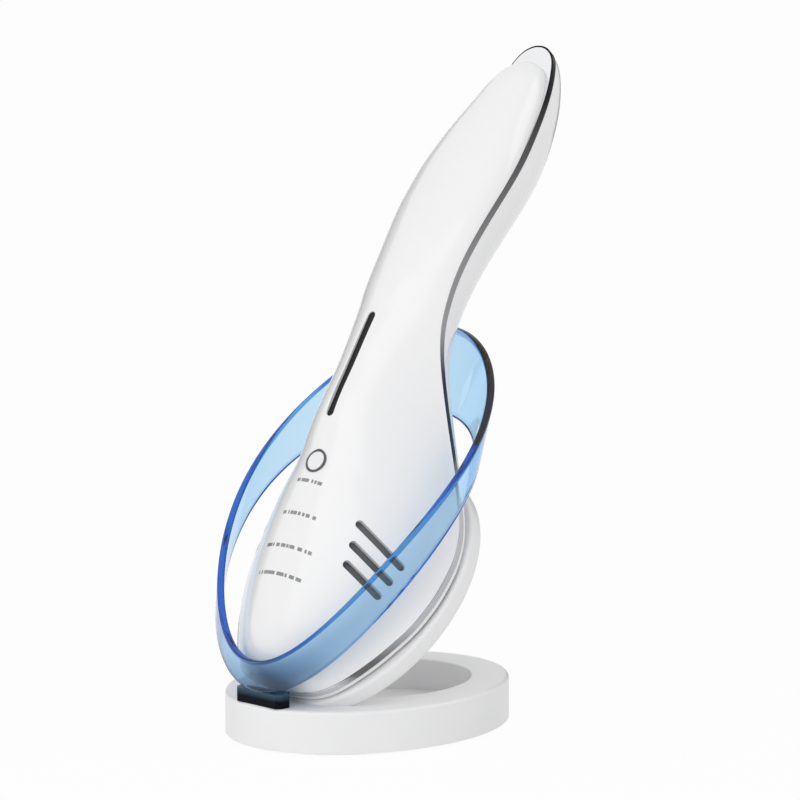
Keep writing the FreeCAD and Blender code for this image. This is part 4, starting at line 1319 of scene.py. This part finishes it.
SATIN_WHITE = Finish("white_satin", (0.84, 0.84, 0.845), (0.87, 0.87, 0.875), 0.38, 0.06, coat=0.1)
GLOSS = ((0.86, 0.86, 0.865), (0.88, 0.88, 0.885), 0.2, 0.05)
MARKED_WHITE = MarkedFinish("white_gloss_marked", *GLOSS, coat=0.3)
# Painted shadow: the marked foot of the rear shell is painted near-black, darkest low down.
PAINTED_GAP_SHADOW_STOPS = ((0.012, (0.03, 0.03, 0.032)), (0.07, (0.06, 0.06, 0.062)))
WHITE_GLOSS_WITH_PAINTED_SHADOW = GradedFinish("white_gloss_painted_shadow", *GLOSS, coat=0.3, mark="painted_shadow_line", stops=PAINTED_GAP_SHADOW_STOPS)
# Painted reflections: dark and light stretches on the trim's outer face by height, standing in for what the
# polished band mirrors.
CHROME_PAINTED_REFLECTION_STOPS = (
    (0.0150, (0.8, 0.8, 0.82)), (0.0180, (0.75, 0.75, 0.77)), (0.0210, (0.13, 0.13, 0.14)),
    (0.0245, (0.13, 0.13, 0.14)), (0.034, (0.45, 0.46, 0.48)), (0.062, (0.45, 0.46, 0.48)),
    (0.075, (0.05, 0.06, 0.08)), (0.097, (0.05, 0.06, 0.08)), (0.108, (0.3, 0.3, 0.31)),
    (0.125, (0.26, 0.26, 0.27)), (0.150, (0.09, 0.09, 0.095)), (0.166, (0.01, 0.01, 0.01)),
)
CHROME = GradedFinish(
    "polished_chrome_painted_reflections", (0.82, 0.83, 0.85), (0.9, 0.9, 0.92), 0.1, 0.03, 1.0, mark="edge", stops=CHROME_PAINTED_REFLECTION_STOPS
)
CAP = Finish("button_cap", (0.8, 0.81, 0.82), (0.86, 0.86, 0.87), 0.3, 0.05, coat=0.3)
WINDOW = Finish("smoked_window", (0.008, 0.008, 0.009), (0.014, 0.014, 0.016), 0.35, 0.05, specular=0.2)
# Painted shade: the foot is near-black low down and turns blue-grey at its top, where it meets the clear
# ring.
FOOT_PAINTED_SHADE_STOPS = ((0.0138, (0.001, 0.002, 0.004)), (0.0158, (0.05, 0.1, 0.16)))
NAVY = GradedFinish(
    "dark_foot_painted_shade", (0.002, 0.004, 0.012), (0.004, 0.008, 0.028), 0.2, 0.05, specular=0.08,
    mark="foot", stops=FOOT_PAINTED_SHADE_STOPS,
)
BLUE = ClearFinish(
    "clear_blue", (0.97, 0.99, 1.0), (0.012, 0.2, 0.64), (0.2, 0.33, 0.45), (0.0, 0.56, 0.9), 280.0
)

NODE_FINISHES = {
    "bottom_cover": Finish("grey_plastic", (0.5, 0.51, 0.53), (0.58, 0.59, 0.61), 0.5),
    "non_slip_pad": Finish("pad_rubber", (0.16, 0.16, 0.17), (0.22, 0.22, 0.23), 0.8),
    "cover_screws": Finish("zinc", (0.6, 0.61, 0.63), (0.68, 0.69, 0.7), 0.3, metallic=1.0),
    "charge_board": Finish("board", (0.03, 0.2, 0.09), (0.05, 0.27, 0.13), 0.4),
    "charge_inlet": Finish("inlet", (0.6, 0.61, 0.63), (0.7, 0.71, 0.73), 0.25, metallic=1.0),
    "pin_barrels": Finish("gold", (0.8, 0.6, 0.25), (0.86, 0.68, 0.32), 0.2, metallic=1.0),
    "button_bezel": Finish("bezel_chrome", (0.1, 0.1, 0.11), (0.16, 0.16, 0.17), 0.12, 0.04, 1.0),
    "indicator_window": WINDOW,
    "light_guide": Finish("frosted", (0.8, 0.82, 0.84), (0.88, 0.9, 0.92), 0.4),
    "indicator_lamps": Finish("lamp", (0.85, 0.85, 0.75), (0.92, 0.92, 0.84), 0.4),
    "button_switch": Finish("black_plastic", (0.03, 0.03, 0.03), (0.05, 0.05, 0.05), 0.5),
    "vibration_motor": Finish("steel_can", (0.6, 0.61, 0.62), (0.7, 0.71, 0.72), 0.28, metallic=1.0),
    "battery": Finish("cell_wrap", (0.07, 0.24, 0.48), (0.1, 0.3, 0.56), 0.25),
    "treatment_plate": Finish("bright_steel", (0.72, 0.73, 0.74), (0.8, 0.81, 0.82), 0.14, metallic=1.0),
    "light_lens": Finish("lens", (0.7, 0.74, 0.78), (0.78, 0.82, 0.86), 0.1, coat=0.6),
    "heat_sink": Finish("extruded", (0.7, 0.71, 0.72), (0.78, 0.79, 0.8), 0.4, metallic=1.0),
    "vent_screens": Finish("mesh_black", (0.12, 0.12, 0.125), (0.18, 0.18, 0.185), 0.6),
    "eccentric_weight": Finish("sintered", (0.36, 0.36, 0.38), (0.44, 0.44, 0.46), 0.45, metallic=1.0),
    "mode_button": CAP,
}
SAME_FINISH = {
    "ring_screw": "cover_screws", "shell_screws": "cover_screws", "motor_shaft": "cover_screws",
    "main_board": "charge_board", "light_board": "charge_board", "charge_contacts": "pin_barrels",
    "charge_pin_left": "pin_barrels", "charge_pin_right": "pin_barrels",
    "inner_frame": "bottom_cover", "battery_cradle": "bottom_cover",
}


def dress_nodes() -> None:
    """Give every CAD node that stays visible its finish."""
    made: dict[str, bpy.types.Material] = {}
    for name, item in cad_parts.items():
        finish = NODE_FINISHES.get(SAME_FINISH.get(name, name))
        if finish is None or item.hide_render:
            continue
        if finish.name not in made:
            made[finish.name] = finish.material()
        item.data.materials.clear()
        item.data.materials.append(made[finish.name])


def main() -> None:
    """Build the looks and the studio, and log the face count of each piece."""
    logging.basicConfig(level=logging.INFO)
    form = HandsetForm()
    makers = (Handset(form), HolderRing(), Dock(form))
    pieces = [piece for maker in makers for piece in maker.pieces()]
    for piece in pieces:
        piece.mount()
        LOG.info("%s: %d faces", piece.item.name, len(piece.item.data.polygons))
    dress_nodes()
    Studio().build()


if __name__ == "__main__":
    main()
